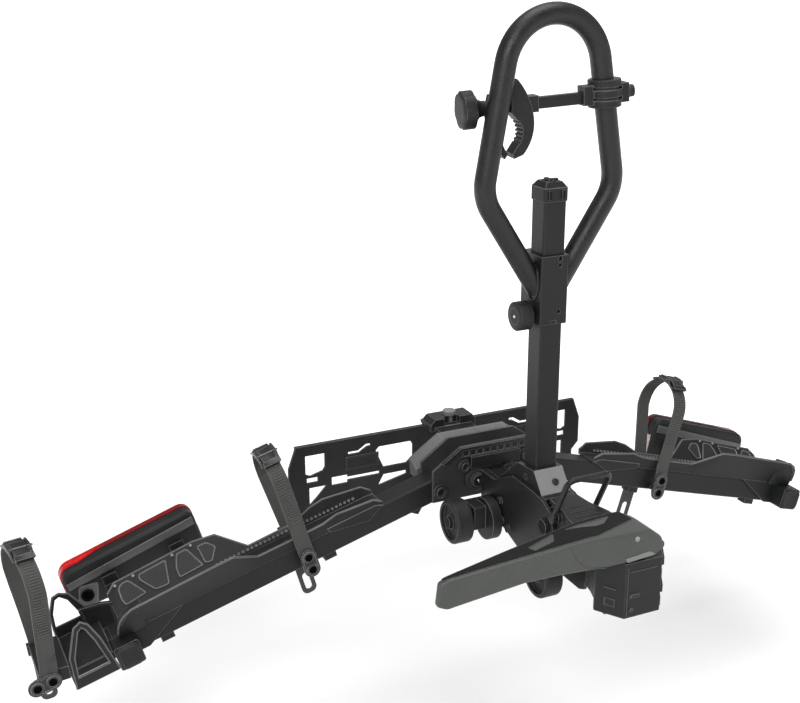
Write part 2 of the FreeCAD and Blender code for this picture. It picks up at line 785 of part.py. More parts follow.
def loop_frame():
    lean = math.radians(loop_lean)
    touch = V(loop_arc_radius * math.cos(lean), 0, loop_arc_z + loop_arc_radius * math.sin(lean))
    top = V(0, 0, loop_arc_z + loop_arc_radius)
    root = V(loop_root_x, 0, loop_root_z)
    bend = V(loop_bend_x, 0, loop_bend_z)
    down = (root - bend).normalize()
    up = (touch - bend).normalize()
    half_turn = (math.pi - math.acos(down.dot(up))) / 2
    reach = loop_bend_radius * math.tan(half_turn)
    start = bend + down * reach
    end = bend + up * reach
    middle_way = (down + up).normalize()
    middle = bend + middle_way * (loop_bend_radius / math.cos(half_turn) - loop_bend_radius)

    def flip(point):
        return V(-point.x, point.y, point.z)
    edges = [Part.LineSegment(root, start).toShape(),
             Part.Arc(start, middle, end).toShape(),
             Part.LineSegment(end, touch).toShape(),
             Part.Arc(touch, top, flip(touch)).toShape(),
             Part.LineSegment(flip(touch), flip(end)).toShape(),
             Part.Arc(flip(end), flip(middle), flip(start)).toShape(),
             Part.LineSegment(flip(start), flip(root)).toShape()]
    path = Part.Wire(edges)
    way = (start - root).normalize()
    pipes = []
    for radius in (loop_tube / 2, loop_tube / 2 - loop_wall):
        circle = Part.Wire(Part.makeCircle(radius, root, way))
        pipes.append(path.makePipeShell([circle], True, True))
    body = pipes[0].cut(pipes[1])
    body = moved(body, 0, mast_y, 0)
    out = mast_side / 2 + run_gap + collar_wall
    room = box((-out, out), (mast_y - 60, mast_y + 60), (200, 480))
    return body.cut(room)


def collar_knob():
    out = mast_side / 2 + run_gap + collar_wall
    face = -out - 3.5
    body = rod("x", knob_y, knob_z, face - knob_depth, face, knob_radius)
    for index in range(12):
        angle = math.radians(30 * index)
        groove = rod("x", knob_y + (knob_radius + 1.8) * math.cos(angle),
                     knob_z + (knob_radius + 1.8) * math.sin(angle), face - knob_depth - 1, face - 4, 3.4)
        body = body.cut(groove)
    body = body.cut(rod("x", knob_y, knob_z, face - knob_depth - 1, face - knob_depth + 5, 7))
    collar_face = rod("x", knob_y, knob_z, face, -out - 0.4, 11)
    stud = rod("x", knob_y, knob_z, -out - 1, -mast_side / 2 - 0.4, 5)
    return joined([body, collar_face, stud])


# Bike arm, built along +X from the loop leg's axis and then turned to its place

def leg_x(z):
    lean = math.radians(loop_lean)
    touch_x = loop_arc_radius * math.cos(lean)
    touch_z = loop_arc_z + loop_arc_radius * math.sin(lean)
    return touch_x + (touch_z - z) * math.tan(lean)


def arm_placed(shape):
    body = turned(shape, V(0, 0, 0), V(0, 1, 0), arm_drop)
    body = turned(body, V(0, 0, 0), V(0, 0, 1), 180 - arm_yaw)
    return moved(body, leg_x(arm_z), mast_y, arm_z)


def leg_cut(radius):
    lean = math.radians(loop_lean)
    way = V(-math.sin(lean), 0, math.cos(lean))
    start = V(leg_x(arm_z), mast_y, arm_z) - way * 60
    return Part.makeCylinder(radius, 120, start, way)


def arm_clamp():
    low = arm_clamp_low
    high = arm_clamp_high
    gap = 3.0
    shell = rod("z", 0, 0, low, high, arm_clamp_radius)
    lugs = box((-32, 35), (-11, 11), (low + 5, high - 7))
    body = joined([shell, lugs])
    body = rounded(body, 1.5, lambda edge: edge.Length > 40 and edge.BoundBox.ZLength < 0.1)
    body = body.cut(ring("z", 0, 0, -5, -1, arm_clamp_radius + 1, arm_clamp_radius - 2.5))
    body = body.cut(ring("z", 0, 0, 9, 13, arm_clamp_radius + 1, arm_clamp_radius - 2.5))
    split = box((-gap / 2 - 8, gap / 2 - 8), (-60, 0), (low - 1, high + 1))
    body = body.cut(split)
    socket = box((17, 40), (-arm_bar_depth / 2 - 0.05, arm_bar_depth / 2 + 0.05),
                 (-arm_bar_height / 2 - 0.05, arm_bar_height / 2 + 0.05))
    body = body.cut(socket)
    nut = joined([rod("x", 0, 3, -42, -32, 8.5), rod("x", 0, 3, -35, -31, 10)])
    body = joined([body, nut])
    return arm_placed(body).cut(leg_cut(loop_tube / 2 + 0.08))


def arm_bar():
    body = box((19, arm_bar_end), (-arm_bar_depth / 2, arm_bar_depth / 2),
               (-arm_bar_height / 2, arm_bar_height / 2))
    body = rounded(body, 2, runs_along("x"))
    return arm_placed(body.cut(rod("x", 0, 0, arm_bar_end - 16, arm_bar_end + 1, 3.5 + pin_fit)))


def bar_hole(room):
    return box((0, 260), (-arm_bar_depth / 2 - room, arm_bar_depth / 2 + room),
               (-arm_bar_height / 2 - room, arm_bar_height / 2 + room))


def arc_face(points):
    # Points are (x, z) pairs; a three-item entry (x, z, 'arc') marks the middle of an arc.
    edges = []
    index = 0
    count = len(points)
    while index < count:
        a = points[index]
        b = points[(index + 1) % count]
        if len(b) == 3:
            c = points[(index + 2) % count]
            edges.append(Part.Arc(V(a[0], 0, a[1]), V(b[0], 0, b[1]), V(c[0], 0, c[1])).toShape())
            index += 2
        else:
            edges.append(Part.LineSegment(V(a[0], 0, a[1]), V(b[0], 0, b[1])).toShape())
            index += 1
    return Part.Face(Part.Wire(edges))


def claw_plate(outline, width):
    body = arc_face(outline).extrude(V(0, width, 0))
    body.translate(V(0, -width / 2, 0))
    return body


def claw_fixed_jaw():
    body = claw_plate([(131, 36), (117, 14, "arc"), (109, -15), (112, -43, "arc"), (126, -66), (139, -70),
                       (141, -63), (132, -51), (127, -34, "arc"), (133, -18), (140, -9), (140, 22)], claw_width)
    boss = box((100, 118), (-9.5, 9.5), (-11, 11))
    body = joined([body, boss])
    for index in range(6):
        angle = math.radians(140 + 16 * index)
        body = body.cut(rod("y", 146 + 20 * math.cos(angle), -35 + 21 * math.sin(angle), -20, 20, 1.7))
    return arm_placed(body.cut(bar_hole(0.02)))


def claw_moving_jaw():
    body = claw_plate([(148, 18), (167, 17), (171, 3), (168, -36, "arc"), (151, -70), (146, -63),
                       (155, -38, "arc"), (149, -14)], claw_width - 8)
    return arm_placed(body.cut(bar_hole(0.1)))


def claw_knob():
    start = arm_bar_end + 0.5
    neck = arm_knob_neck
    body = rod("x", 0, 0, start + neck, start + neck + arm_knob_length, arm_knob_radius)
    body = rounded(body, 5, lambda edge: edge.Length > 100)
    for index in range(8):
        angle = math.radians(45 * index)
        body = body.cut(rod("x", (arm_knob_radius + 9) * math.cos(angle), (arm_knob_radius + 9) * math.sin(angle),
                            start + neck + 3, start + neck + arm_knob_length + 1, 11))
    shank = rod("x", 0, 0, arm_bar_end - 14, start + 2, 3.5)
    return arm_placed(joined([body, shank, cone("x", 0, 0, start, start + neck + 1, 8, 17)]))


# Wings, built in their own frame and then drooped, moved and mirrored

def wing_placed(shape, side):
    body = turned(shape, V(0, 0, 0), V(0, 1, 0), wing_droop)
    body = moved(body, wing_pivot_x, 0, wing_pivot_z)
    if side < 0:
        body = mirrored(body)
    return body


def wing_beam():
    half = beam_height / 2
    back = beam_front + beam_depth
    tube = box((beam_start, beam_end), (beam_front, back), (-half, half))
    tube = rounded(tube, 3, runs_along("x"))
    tube = rounded(tube, 12, lambda edge: edge.BoundBox.XMax < beam_start + 0.1
                   and edge.BoundBox.YLength > beam_depth - 8)
    inner = half - beam_wall
    hollow = box((-7, beam_end + 1), (beam_front + beam_wall, back - beam_wall), (-inner, inner))
    tube = tube.cut(hollow)
    pads = [box((185, 205), (beam_front + 2, beam_front + 20), (-half - 9, -half)),
            box((452, 472), (beam_front + 2, beam_front + 20), (-half - 9, -half)),
            prism("y", [(33, -half), (52, -half), (42, -half - 8)], beam_front + 2, beam_front + 12)]
    peg = strap_peg(strap_u, strap_near, strap_peg_v, beam_front + beam_wall)
    tube = joined([tube, peg] + pads)
    return tube.cut(rod("y", 0, 0, beam_front - 1, back + 1, wing_pin_radius + pin_fit))


def tray_section(u, near_rim, near_foot, far_foot, far_rim):
    t = tray_sheet
    points = [near_rim, near_foot, far_foot, far_rim, (far_rim[0] - t, far_rim[1]),
              (far_foot[0] - t, far_foot[1] + t), (near_foot[0] + t, near_foot[1] + t),
              (near_rim[0] + t, near_rim[1])]
    return [V(u, y, v) for y, v in points]


def wing_tray():
    deck = beam_height / 2
    near = beam_front - 4
    far = beam_front + beam_depth + 6
    inner_rim = near - 2
    back_rim = far + 9
    low = tray_low_height
    high = tray_rim_height
    stations = [
        (tray_start, (near + 1, deck + 8), (near + 1, deck), (far - 2, deck), (far + 1, deck + 8)),
        (tray_start + 14, (near, low - 1), (near + 1, deck), (far, deck), (back_rim - 4, low - 1)),
        (tray_start + 76, (inner_rim, low + 6), (near + 1, deck), (far, deck), (back_rim, low + 7)),
        (tray_start + 100, (inner_rim, low + 1), (near + 1, deck), (far, deck), (back_rim, low + 3)),
        (tray_start + 130, (inner_rim, low), (near + 1, deck), (far, deck), (back_rim, low - 9)),
        (tray_flare_start, (inner_rim, low), (near + 1, deck), (far, deck), (back_rim, low - 10)),
        (tray_flare_end, (tray_rim_front + 2, high - 1), (near, deck), (far, deck), (tray_rim_back - 2, high - 16)),
        (tray_flare_end + 34, (tray_rim_front, high), (near, deck), (far, deck), (tray_rim_back, high - 12)),
        (tray_end - 16, (tray_rim_front, high - 4), (near, deck), (far, deck), (tray_rim_back, high - 18)),
        (tray_end, (tray_rim_front + 6, high - 22), (near, deck), (far, deck), (tray_rim_back - 6, high - 28))]
    trough = loft([tray_section(*station) for station in stations])
    flap = prism("y", [(tray_start + 2, deck + 3), (tray_start + 14, deck + 8), (tray_start + 96, deck + 8),
                       (tray_start + 92, deck), (tray_start + 30, 7)], near - 1, beam_front)
    skirt = prism("y", [(425, deck + 1), (490, -deck), (512, -deck), (tray_end, deck + 1)],
                  near - 1, beam_front)
    body = joined([trough, flap, skirt])
    for u in (tray_start + 60, 250, 400, 480):
        screw = rod("z", u, beam_front + beam_depth / 2, deck + tray_sheet - 0.5, deck + tray_sheet + 2.2, 5)
        body = body.fuse(screw)
    keeper = strap_keeper(strap_u, far + 4, strap_keeper_y, deck + 2)
    return joined([body, keeper])


def end_block():
    half = beam_height / 2
    block = box((503, 540), (tray_rim_front, beam_front - 5.4), (-half, half + 1))
    block = rounded(block, 4, runs_along("y"))
    arm = box((tray_end + 1.5, beam_end), (beam_front - 7, beam_front), (-14, 12))
    return joined([block, arm])


def beam_cap():
    half = beam_height / 2
    back = beam_front + beam_depth
    room = beam_wall + pin_fit
    lid = box((beam_end, beam_end + 4), (beam_front, back), (-half, half))
    plug = box((beam_end - 12, beam_end), (beam_front + room, back - room), (room - half, half - room))
    return joined([lid, plug])


def lamp_arms():
    back = beam_front + beam_depth
    arms = []
    for u in (388.0, 500.0):
        outline = [(back, -13), (back + 4, -13), (back + 4, -5), (lamp_front - 4, 4), (lamp_front - 4, -12),
                   (lamp_front, -12), (lamp_front, 24), (lamp_front - 4, 24), (lamp_front - 4, 8),
                   (back + 4, -1), (back + 4, 13), (back, 13)]
        arms.append(prism("x", outline, u - 12, u + 12))
    return Part.Compound(arms)


def lamp_corners(end):
    # Sloped corners that both the housing and its lens share, as (u, v) triangles
    low = lamp_bottom - 4
    return [[(lamp_start - 1, lamp_top - 13), (lamp_start - 1, lamp_top + 9), (lamp_start + 14, lamp_top + 9)],
            [(lamp_start - 1, low + 13), (lamp_start - 1, low - 5), (lamp_start + 14, low - 5)],
            [(end + 1, lamp_top - 24), (end + 1, lamp_top + 1), (end - 26, lamp_top + 1)],
            [(end + 1, low + 26), (end + 1, low - 5), (end - 18, low - 5)]]


def cut_corners(body, end):
    for corner in lamp_corners(end):
        body = body.cut(prism("y", corner, lamp_front - 5, lamp_front + lamp_depth + lens_depth + 5))
    return body


def lamp_housing():
    back = lamp_front + lamp_depth

    def section(u, drop, lift):
        top = lamp_top - drop
        low = lamp_bottom + lift
        return [V(u, lamp_front, low), V(u, lamp_front, top - 20), V(u, lamp_front + 9, top - 4),
                V(u, back, top), V(u, back, low - 3)]
    body = cut_corners(flat_sided(section(lamp_start, 0, 0), section(lamp_end, lamp_taper, 8)), lamp_end)
    hollow = box((lamp_start + 16, lamp_end - 24), (lamp_front + 12, back + 1), (lamp_bottom + 14, lamp_top - 24))
    body = body.cut(hollow)
    lug = joined([rod("y", lamp_end - 25, 10, lamp_front - 3, lamp_front + 1, 10),
                  box((lamp_end - 42, lamp_end - 12), (lamp_front - 3, lamp_front + 1), (-4, 3))])
    body = joined([body, lug])
    return body.cut(rod("y", lamp_end - 25, 10, lamp_front - 4, lamp_front + 6, 5.5))


def lamp_lens():
    front = lamp_front + lamp_depth + 0.05
    back = front + lens_depth

    def section(u, drop, lift):
        top = lamp_top - drop
        low = lamp_bottom + lift - 3
        return [V(u, front, low), V(u, front, top), V(u, back, top - 2), V(u, back, low + 2)]
    end = lamp_end + 4
    body = cut_corners(flat_sided(section(lamp_start - 2, 0, 0), section(end, lamp_taper, 8)), end)
    return rounded(body, 2.5, lambda edge: edge.BoundBox.YMin > back - 0.1 and edge.Length > 20)


# Wheel straps and their buckles

def strap_band(u, near, keeper, far, rise, rim, peg, drop, swing):
    # The band hangs below the tray, leaves the keeper at the rim, arches over and comes down to its peg.
    half = (far - near) / 2
    middle = (near + far) / 2
    crown = rise - half
    low = u - strap_width / 2
    diagonal = half * math.sqrt(0.5)
    tail = rim - drop
    steps = [(keeper + 1, tail), (keeper, rim - 40), (keeper, rim), (far, rim + 80), (far, crown),
             ((middle + diagonal, crown + diagonal), (middle, rise)),
             ((middle - diagonal, crown + diagonal), (near, crown)),
             (near, peg + 42), (near - 5, peg + 18), (near - 5, peg + 10)]
    band = ribbon(steps, strap_sheet, low, low + strap_width)
    band = rounded(band, strap_width / 2 - 2.5, lambda edge: edge.BoundBox.ZMax < tail + 1
                   and edge.BoundBox.XLength < 0.1)
    slot = joined([box((u - 5.5, u + 5.5), (keeper - 5, keeper + 15), (tail + 12, tail + 32)),
                   rod("y", u, tail + 12, keeper - 5, keeper + 15, 5.5),
                   rod("y", u, tail + 32, keeper - 5, keeper + 15, 5.5)])
    band = band.cut(slot)
    back = near - 5
    front = back - strap_sheet - 1
    thumb = joined([box((u - 8, u + 8), (front, back), (peg, peg + 16)),
                    rod("y", u, peg, front, back, 12), rod("y", u, peg + 16, front, back, 12)])
    thumb = thumb.cut(box((u - 5, u + 5), (front - 1, back + 1), (peg + 12, peg + 19)))
    thumb = turned(thumb, V(u, 0, peg), V(0, 1, 0), swing)
    return joined([band, thumb]).cut(rod("y", u, peg, front - 1, back + 1, peg_radius + pin_fit))


def strap_peg(u, near, peg, wall):
    front = near - 5 - strap_sheet - 1
    head = rod("y", u, peg, front - 2.5, front - 0.1, peg_radius + 2)
    return joined([head, rod("y", u, peg, front - 1, wall, peg_radius)])


def strap_keeper(u, wall, keeper, level):
    # A loop on the back of the tray wall that the band slides down through
    half = strap_width / 2
    outer = box((u - half - 4, u + half + 4), (wall, keeper + strap_sheet + 4), (level - 8, level + 8))
    room = box((u - half - 0.5, u + half + 0.5), (keeper - 0.05, keeper + strap_sheet + 0.5),
               (level - 9, level + 9))
    return outer.cut(room)


def strap_buckle(u, near, far, rise):
    # Its underside follows the crown of the band.
    middle = (near + far) / 2
    half = (far - near) / 2
    crown = rise - half
    radius = (half + strap_sheet + pin_fit) / math.cos(math.radians(3))
    low = u - strap_width / 2 - 3
    high = u + strap_width / 2 + 3
    outline = []
    for index in range(11):
        angle = math.radians(60 + 6 * index)
        outline.append((middle + radius * math.cos(angle), crown + radius * math.sin(angle)))
    top = rise + strap_sheet
    outline += [(middle - 29, top - 3), (middle - 14, top + 9), (middle + 14, top + 11), (middle + 26, top + 1)]
    body = prism("x", outline, low, high)
    groove = box((u - strap_width / 2 + 1, u + strap_width / 2 - 1), (middle - 8, middle + 34), (top + 5, top + 20))
    pin = rod("x", middle - 19, top + 1.5, low - 1.5, high + 1.5, 2.5)
    return joined([body.cut(groove), pin])


# Extension of the left tray

def tray_extension():
    half = beam_height / 2
    inner = half - beam_wall - run_gap
    front = beam_front + beam_wall + run_gap
    back = beam_front + beam_depth - beam_wall - run_gap
    end = cradle_end
    tube = box((slide_tube_start, end - 1), (front, back), (-inner, inner))
    tube = tube.cut(box((slide_tube_start - 1, end - 5), (front + 2, back - 2), (2 - inner, inner - 2)))
    near = tray_rim_front + 2
    far = tray_rim_back - 16
    t = tray_sheet
    floor = box((cradle_start, end), (near, far), (inner - 0.5, inner - 0.5 + t))
    near_wall = prism("y", [(cradle_start, -14), (cradle_start + 8, 47), (cradle_start + 16, 75),
                            (cradle_start + 24, 83), (end - 29, 78), (end - 8, 37),
                            (end, -14)], near, near + t)
    far_wall = prism("y", [(cradle_start, 8), (cradle_start + 12, 52), (cradle_start + 24, 78),
                           (end - 28, 85), (end - 18, 83), (end - 6, 60),
                           (end - 2, 34), (end, 8)], far - t, far)
    arch = prism("y", [(cradle_start + 18, 36), (cradle_start + 28, 70), (end - 27, 80),
                       (end - 20, 78), (end - 10, 58), (end - 6, 36)],
                 far - t - 1, far + 1)
    rib = prism("x", [(near, -14), (front - 1, -14), (front - 1, inner), (far, inner), (far, inner + t),
                      (near, inner + t)], end - t, end)
    window = prism("y", [(cradle_start + 9, 2), (cradle_start + 15, 46), (cradle_start + 21, 69),
                         (cradle_start + 25, 75), (end - 32, 71), (end - 14, 34),
                         (end - 8, 2)], near - 1, near + t + 1)
    body = joined([tube, floor, near_wall.cut(window), far_wall.cut(arch), rib])
    bar = box((end - 2, outer_strap_u + outer_bar_past), (outer_strap_near, outer_strap_keeper_y - 0.1),
              (outer_bar_v - 11, outer_bar_v + 9))
    peg = strap_peg(outer_strap_u, outer_strap_near, outer_strap_peg_v, outer_strap_near + 1)
    keeper = strap_keeper(outer_strap_u, outer_strap_keeper_y - 4, outer_strap_keeper_y, outer_bar_v)
    return joined([body, leant(bar), leant(peg), leant(keeper)])


def leant(shape):
    # The outer strap and its bar lean back towards the upright
    return turned(shape, V(outer_strap_u, 0, outer_bar_v), V(0, 1, 0), outer_strap_lean)


parts = {}
parts["coupling_housing"] = coupling_housing()
parts["coupling_jaw"] = coupling_jaw()
parts["coupling_lever"] = coupling_lever()
parts["lever_pin"] = lever_pin()
parts["neck_frame"] = joined([neck_frame()] + bail_ears())
parts["neck_cover"] = neck_cover()
parts["tilt_pin"] = tilt_pin()
parts["tilt_bail"] = tilt_bail()
parts["front_axle"] = axle(front_axle_y, front_axle_z, front_wheel_x)
parts["rear_axle"] = axle(rear_axle_y, rear_axle_z, rear_wheel_x)
for side, word in ((-1, "left"), (1, "right")):
    parts["front_wheel_" + word] = transport_wheel(side * front_wheel_x, front_axle_y, front_axle_z, side)
    parts["rear_wheel_" + word] = transport_wheel(side * rear_wheel_x, rear_axle_y, rear_axle_z, side)
    parts["hub_plate_" + word] = hub_side(side)
    parts["wing_lock_button_" + word] = lock_button(side)
    parts["wing_beam_" + word] = wing_placed(wing_beam(), side)
    parts["wheel_tray_" + word] = wing_placed(wing_tray(), side)
    parts["end_block_" + word] = wing_placed(end_block(), side)
    parts["lamp_arms_" + word] = wing_placed(lamp_arms(), side)
    parts["lamp_housing_" + word] = wing_placed(lamp_housing(), side)
    parts["lamp_lens_" + word] = wing_placed(lamp_lens(), side)
    band = strap_band(strap_u, strap_near, strap_keeper_y, strap_far, strap_rise, strap_rim, strap_peg_v,
                      strap_tail, strap_swing)
    parts["wheel_strap_" + word] = wing_placed(band, side)
    parts["strap_buckle_" + word] = wing_placed(strap_buckle(strap_u, strap_near, strap_far, strap_rise), side)
band = strap_band(outer_strap_u, outer_strap_near, outer_strap_keeper_y, outer_strap_far,
                  outer_strap_rise, outer_strap_rim, outer_strap_peg_v, outer_strap_tail, outer_strap_swing)
parts["wheel_strap_outer"] = wing_placed(leant(band), -1)
buckle = strap_buckle(outer_strap_u, outer_strap_near, outer_strap_far, outer_strap_rise)
parts["strap_buckle_outer"] = wing_placed(leant(buckle), -1)
parts["tray_extension"] = wing_placed(tray_extension(), -1)
parts["end_block_right"] = wing_placed(joined([end_block(), beam_cap()]), 1)
parts["hub_spine"] = hub_spine()
parts["mast_bracket"] = mast_bracket()
parts["mast_release_button"] = mast_button()
parts["wing_plate_front"] = joined([wing_plate_at(beam_front - run_gap - wing_plate)] + lock_rings())
parts["wing_plate_rear"] = joined([wing_plate_at(beam_front + beam_depth + run_gap)] + cover_stays())
parts["front_channel"] = front_channel()
parts["hub_fasteners"] = hub_fasteners()
parts["axle_carrier"] = axle_carrier()
parts["centre_cover"] = centre_cover()
parts["plate_support"] = plate_support()
parts["number_plate_holder"] = number_plate_holder()
parts["latch_housing"] = latch_housing()
parts["latch_knob"] = latch_knob()
parts["mast_tube"] = mast_tube()
parts["mast_cap"] = mast_cap()
parts["collar"] = collar()
parts["loop_frame"] = loop_frame()
parts["collar_knob"] = collar_knob()
parts["arm_clamp"] = arm_clamp()
parts["arm_bar"] = arm_bar()
parts["claw_fixed_jaw"] = claw_fixed_jaw()
parts["claw_moving_jaw"] = claw_moving_jaw()
parts["claw_knob"] = claw_knob()

os.makedirs("parts", exist_ok=True)
for name, shape in parts.items():
    if not shape.isValid() or not shape.Solids:
        print("CHECK", name, shape.isValid(), len(shape.Solids))
    shape.exportStep("parts/" + name + ".step")
print(len(parts), "nodes written")
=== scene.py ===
import math
import bpy
from mathutils import Matrix, Vector


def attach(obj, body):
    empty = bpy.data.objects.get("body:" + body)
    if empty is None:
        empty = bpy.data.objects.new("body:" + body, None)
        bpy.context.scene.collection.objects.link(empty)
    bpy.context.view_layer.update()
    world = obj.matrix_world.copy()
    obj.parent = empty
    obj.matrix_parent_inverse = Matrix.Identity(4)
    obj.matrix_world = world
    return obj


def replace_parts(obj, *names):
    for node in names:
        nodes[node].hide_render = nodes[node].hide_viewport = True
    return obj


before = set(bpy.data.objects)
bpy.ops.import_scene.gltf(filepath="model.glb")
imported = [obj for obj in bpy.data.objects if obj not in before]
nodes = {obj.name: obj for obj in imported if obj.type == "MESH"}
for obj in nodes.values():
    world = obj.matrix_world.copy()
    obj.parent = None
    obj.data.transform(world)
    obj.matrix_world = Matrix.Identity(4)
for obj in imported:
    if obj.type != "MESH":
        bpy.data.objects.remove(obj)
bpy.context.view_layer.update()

# Hitch bike rack: finishes, small fittings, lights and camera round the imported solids.
mm = 0.001
print("packed solids loaded:", len(nodes))


class Wire:
    # An output socket that can be used in sums
    def __init__(self, finish, socket):
        self.finish = finish
        self.socket = socket

    def sum(self, operation, first, second=None):
        inputs = {0: first} if second is None else {0: first, 1: second}
        return self.finish.add("ShaderNodeMath", {"operation": operation}, inputs)

    def __add__(self, other):
        return self.sum("ADD", self, other)

    def __radd__(self, other):
        return self.sum("ADD", other, self)

    def __sub__(self, other):
        return self.sum("SUBTRACT", self, other)

    def __rsub__(self, other):
        return self.sum("SUBTRACT", other, self)

    def __mul__(self, other):
        return self.sum("MULTIPLY", self, other)

    def __rmul__(self, other):
        return self.sum("MULTIPLY", other, self)

    def clamped(self):
        return self.finish.add("ShaderNodeClamp", {}, {"Value": self})


class Finish:
    # The nodes of one material, or of the world
    def __init__(self, holder):
        holder.use_nodes = True
        self.holder = holder
        self.tree = holder.node_tree
        self.tree.nodes.clear()

    def add(self, kind, settings, inputs, output=0):
        node = self.tree.nodes.new(kind)
        for key, value in settings.items():
            setattr(node, key, value)
        for key, value in inputs.items():
            if isinstance(value, Wire):
                self.tree.links.new(value.socket, node.inputs[key])
            else:
                node.inputs[key].default_value = value
        return Wire(self, node.outputs[output]) if len(node.outputs) else None

    def place(self, kind="Object"):
        return self.add("ShaderNodeTexCoord", {}, {}, kind)

    def noise(self, place, scale, detail=3.0, roughness=0.55):
        return self.add("ShaderNodeTexNoise", {},
                        {"Vector": place, "Scale": scale, "Detail": detail, "Roughness": roughness})

    def mixed(self, share, first, second):
        return self.add("ShaderNodeMix", {"data_type": "RGBA"},
                        {0: share, 6: plain(first), 7: plain(second)}, 2)

    def dot(self, first, second):
        settings = {"operation": "DOT_PRODUCT"}
        return self.add("ShaderNodeVectorMath", settings, {0: first, 1: second}, "Value")

    def softened(self, radius):
        return self.add("ShaderNodeBevel", {"samples": 4}, {"Radius": radius})

    def relief(self, height, strength, depth, soft):
        return self.add("ShaderNodeBump", {},
                        {"Height": height, "Strength": strength, "Distance": depth, "Normal": soft})

    def shade(self, inputs):
        shader = self.add("ShaderNodeBsdfPrincipled", {}, inputs)
        self.add("ShaderNodeOutputMaterial", {}, {"Surface": shader})
        return self.holder


def plain(colour):
    return colour if isinstance(colour, Wire) else (*colour, 1.0)


def coated(name, look):
    # Paint, moulded plastic or rubber: clouds of tone, fine grain, and eased edges with a painted highlight
    # along them
    finish = Finish(bpy.data.materials.new(name))
    place = finish.place()
    cloud = finish.noise(place, look["cloud"], 5.0)
    grain = finish.noise(place, look["grain"], 2.0)
    speck = finish.noise(place, look["speck"], 3.0, 0.8)
    # Painted highlight along every edge: where the eased normal leaves the flat one, the colour turns towards
    # the look's edge colour
    soft = finish.softened(look["ease"])
    facing = finish.dot(soft, finish.add("ShaderNodeNewGeometry", {}, {}, "Normal"))
    edgeHighlight = ((1 - facing) * look["highlightGain"] * (0.4 + cloud)).clamped()
    tone = finish.mixed((cloud * 1.2 + speck * 1.6 - 0.9).clamped(), look["dark"], look["light"])
    if "lit" in look:
        # Faces that lean one way are given another tone, as the light catches them
        lean = finish.dot(finish.place("Normal"), look["lit"])
        share = ((lean - look["litFrom"]) * look["litStep"]).clamped()
        tone = finish.mixed(share, tone, finish.mixed(speck, look["litDark"], look["litLight"]))
    rough = look["rough"] + (cloud - 0.5) * look["roughSpread"] + (grain - 0.5) * 0.12
    return finish.shade({"Base Color": finish.mixed(edgeHighlight, tone, look["edge"]), "Roughness": rough,
                         "Normal": finish.relief(grain, look["bump"], 0.0006, soft),
                         "Specular IOR Level": look["gloss"]})


# In each look, edge is the colour of the painted highlight along edges and highlightGain is its strength
powder = {"cloud": 14.0, "grain": 900.0, "speck": 420.0, "ease": 0.0018, "highlightGain": 4.5, "rough": 0.46,
          "roughSpread": 0.16, "bump": 0.35, "gloss": 0.26, "dark": (0.0062, 0.0064, 0.0072),
          "light": (0.0155, 0.0157, 0.017), "edge": (0.20, 0.20, 0.206)}
moulded = {"cloud": 22.0, "grain": 1300.0, "speck": 420.0, "ease": 0.0018, "highlightGain": 4.8, "rough": 0.52,
           "roughSpread": 0.12, "bump": 0.4, "gloss": 0.26, "dark": (0.007, 0.0074, 0.0079),
           "light": (0.019, 0.0195, 0.020), "edge": (0.25, 0.252, 0.255)}
powderSteel = coated("powderSteel", powder)
# Wing plates: the same powder coat painted lighter, as painted light that lifts them out of the shade they
# sit in
hubSteel = coated("hubSteel", {**powder, "dark": (0.02, 0.0202, 0.021), "light": (0.045, 0.0452, 0.047),
                               "edge": (0.3, 0.3, 0.306)})
bracketSteel = coated("bracketSteel", {**powder, "lit": (0.0, -0.781, 0.625), "litFrom": 0.9, "litStep": 12.0,
                                       "litDark": (0.15, 0.15, 0.152), "litLight": (0.27, 0.27, 0.273)})
tubeSteel = coated("tubeSteel", {**powder, "cloud": 60.0, "grain": 420.0, "highlightGain": 2.0, "rough": 0.41,
                                 "roughSpread": 0.3, "bump": 0.8, "gloss": 0.34,
                                 "dark": (0.0042, 0.0044, 0.005), "light": (0.017, 0.0172, 0.0185)})
mouldedBlack = coated("mouldedBlack", moulded)
# Rim beads and lamp band: the black plastic painted lighter and glossier, a painted highlight along the rims
rimBlack = coated("rimBlack", {**moulded, "gloss": 0.5, "rough": 0.4, "dark": (0.045, 0.046, 0.047),
                               "light": (0.10, 0.101, 0.102)})
# Tray fields: the black plastic painted a little lighter, with a stronger painted highlight along their
# outlines
fieldBlack = coated("fieldBlack", {**moulded, "dark": (0.014, 0.0145, 0.015), "light": (0.03, 0.0305, 0.031),
                                   "edge": (0.34, 0.342, 0.345), "highlightGain": 6.0})
mouldedGrey = coated("mouldedGrey", {**moulded, "cloud": 20.0, "dark": (0.078, 0.079, 0.079),
                                     "light": (0.15, 0.151, 0.151), "edge": (0.3, 0.302, 0.302)})
latchGrey = coated("latchGrey", {**moulded, "rough": 0.45, "gloss": 0.5, "dark": (0.13, 0.13, 0.13),
                                 "light": (0.2, 0.2, 0.2), "edge": (0.42, 0.42, 0.42)})
leverLook = {**moulded, "cloud": 12.0, "grain": 1600.0, "ease": 0.002, "highlightGain": 1.4, "rough": 0.42,
             "gloss": 0.4, "dark": (0.044, 0.048, 0.042), "light": (0.072, 0.077, 0.069),
             "edge": (0.3, 0.31, 0.29)}
leverAlloy = coated("leverAlloy", leverLook)
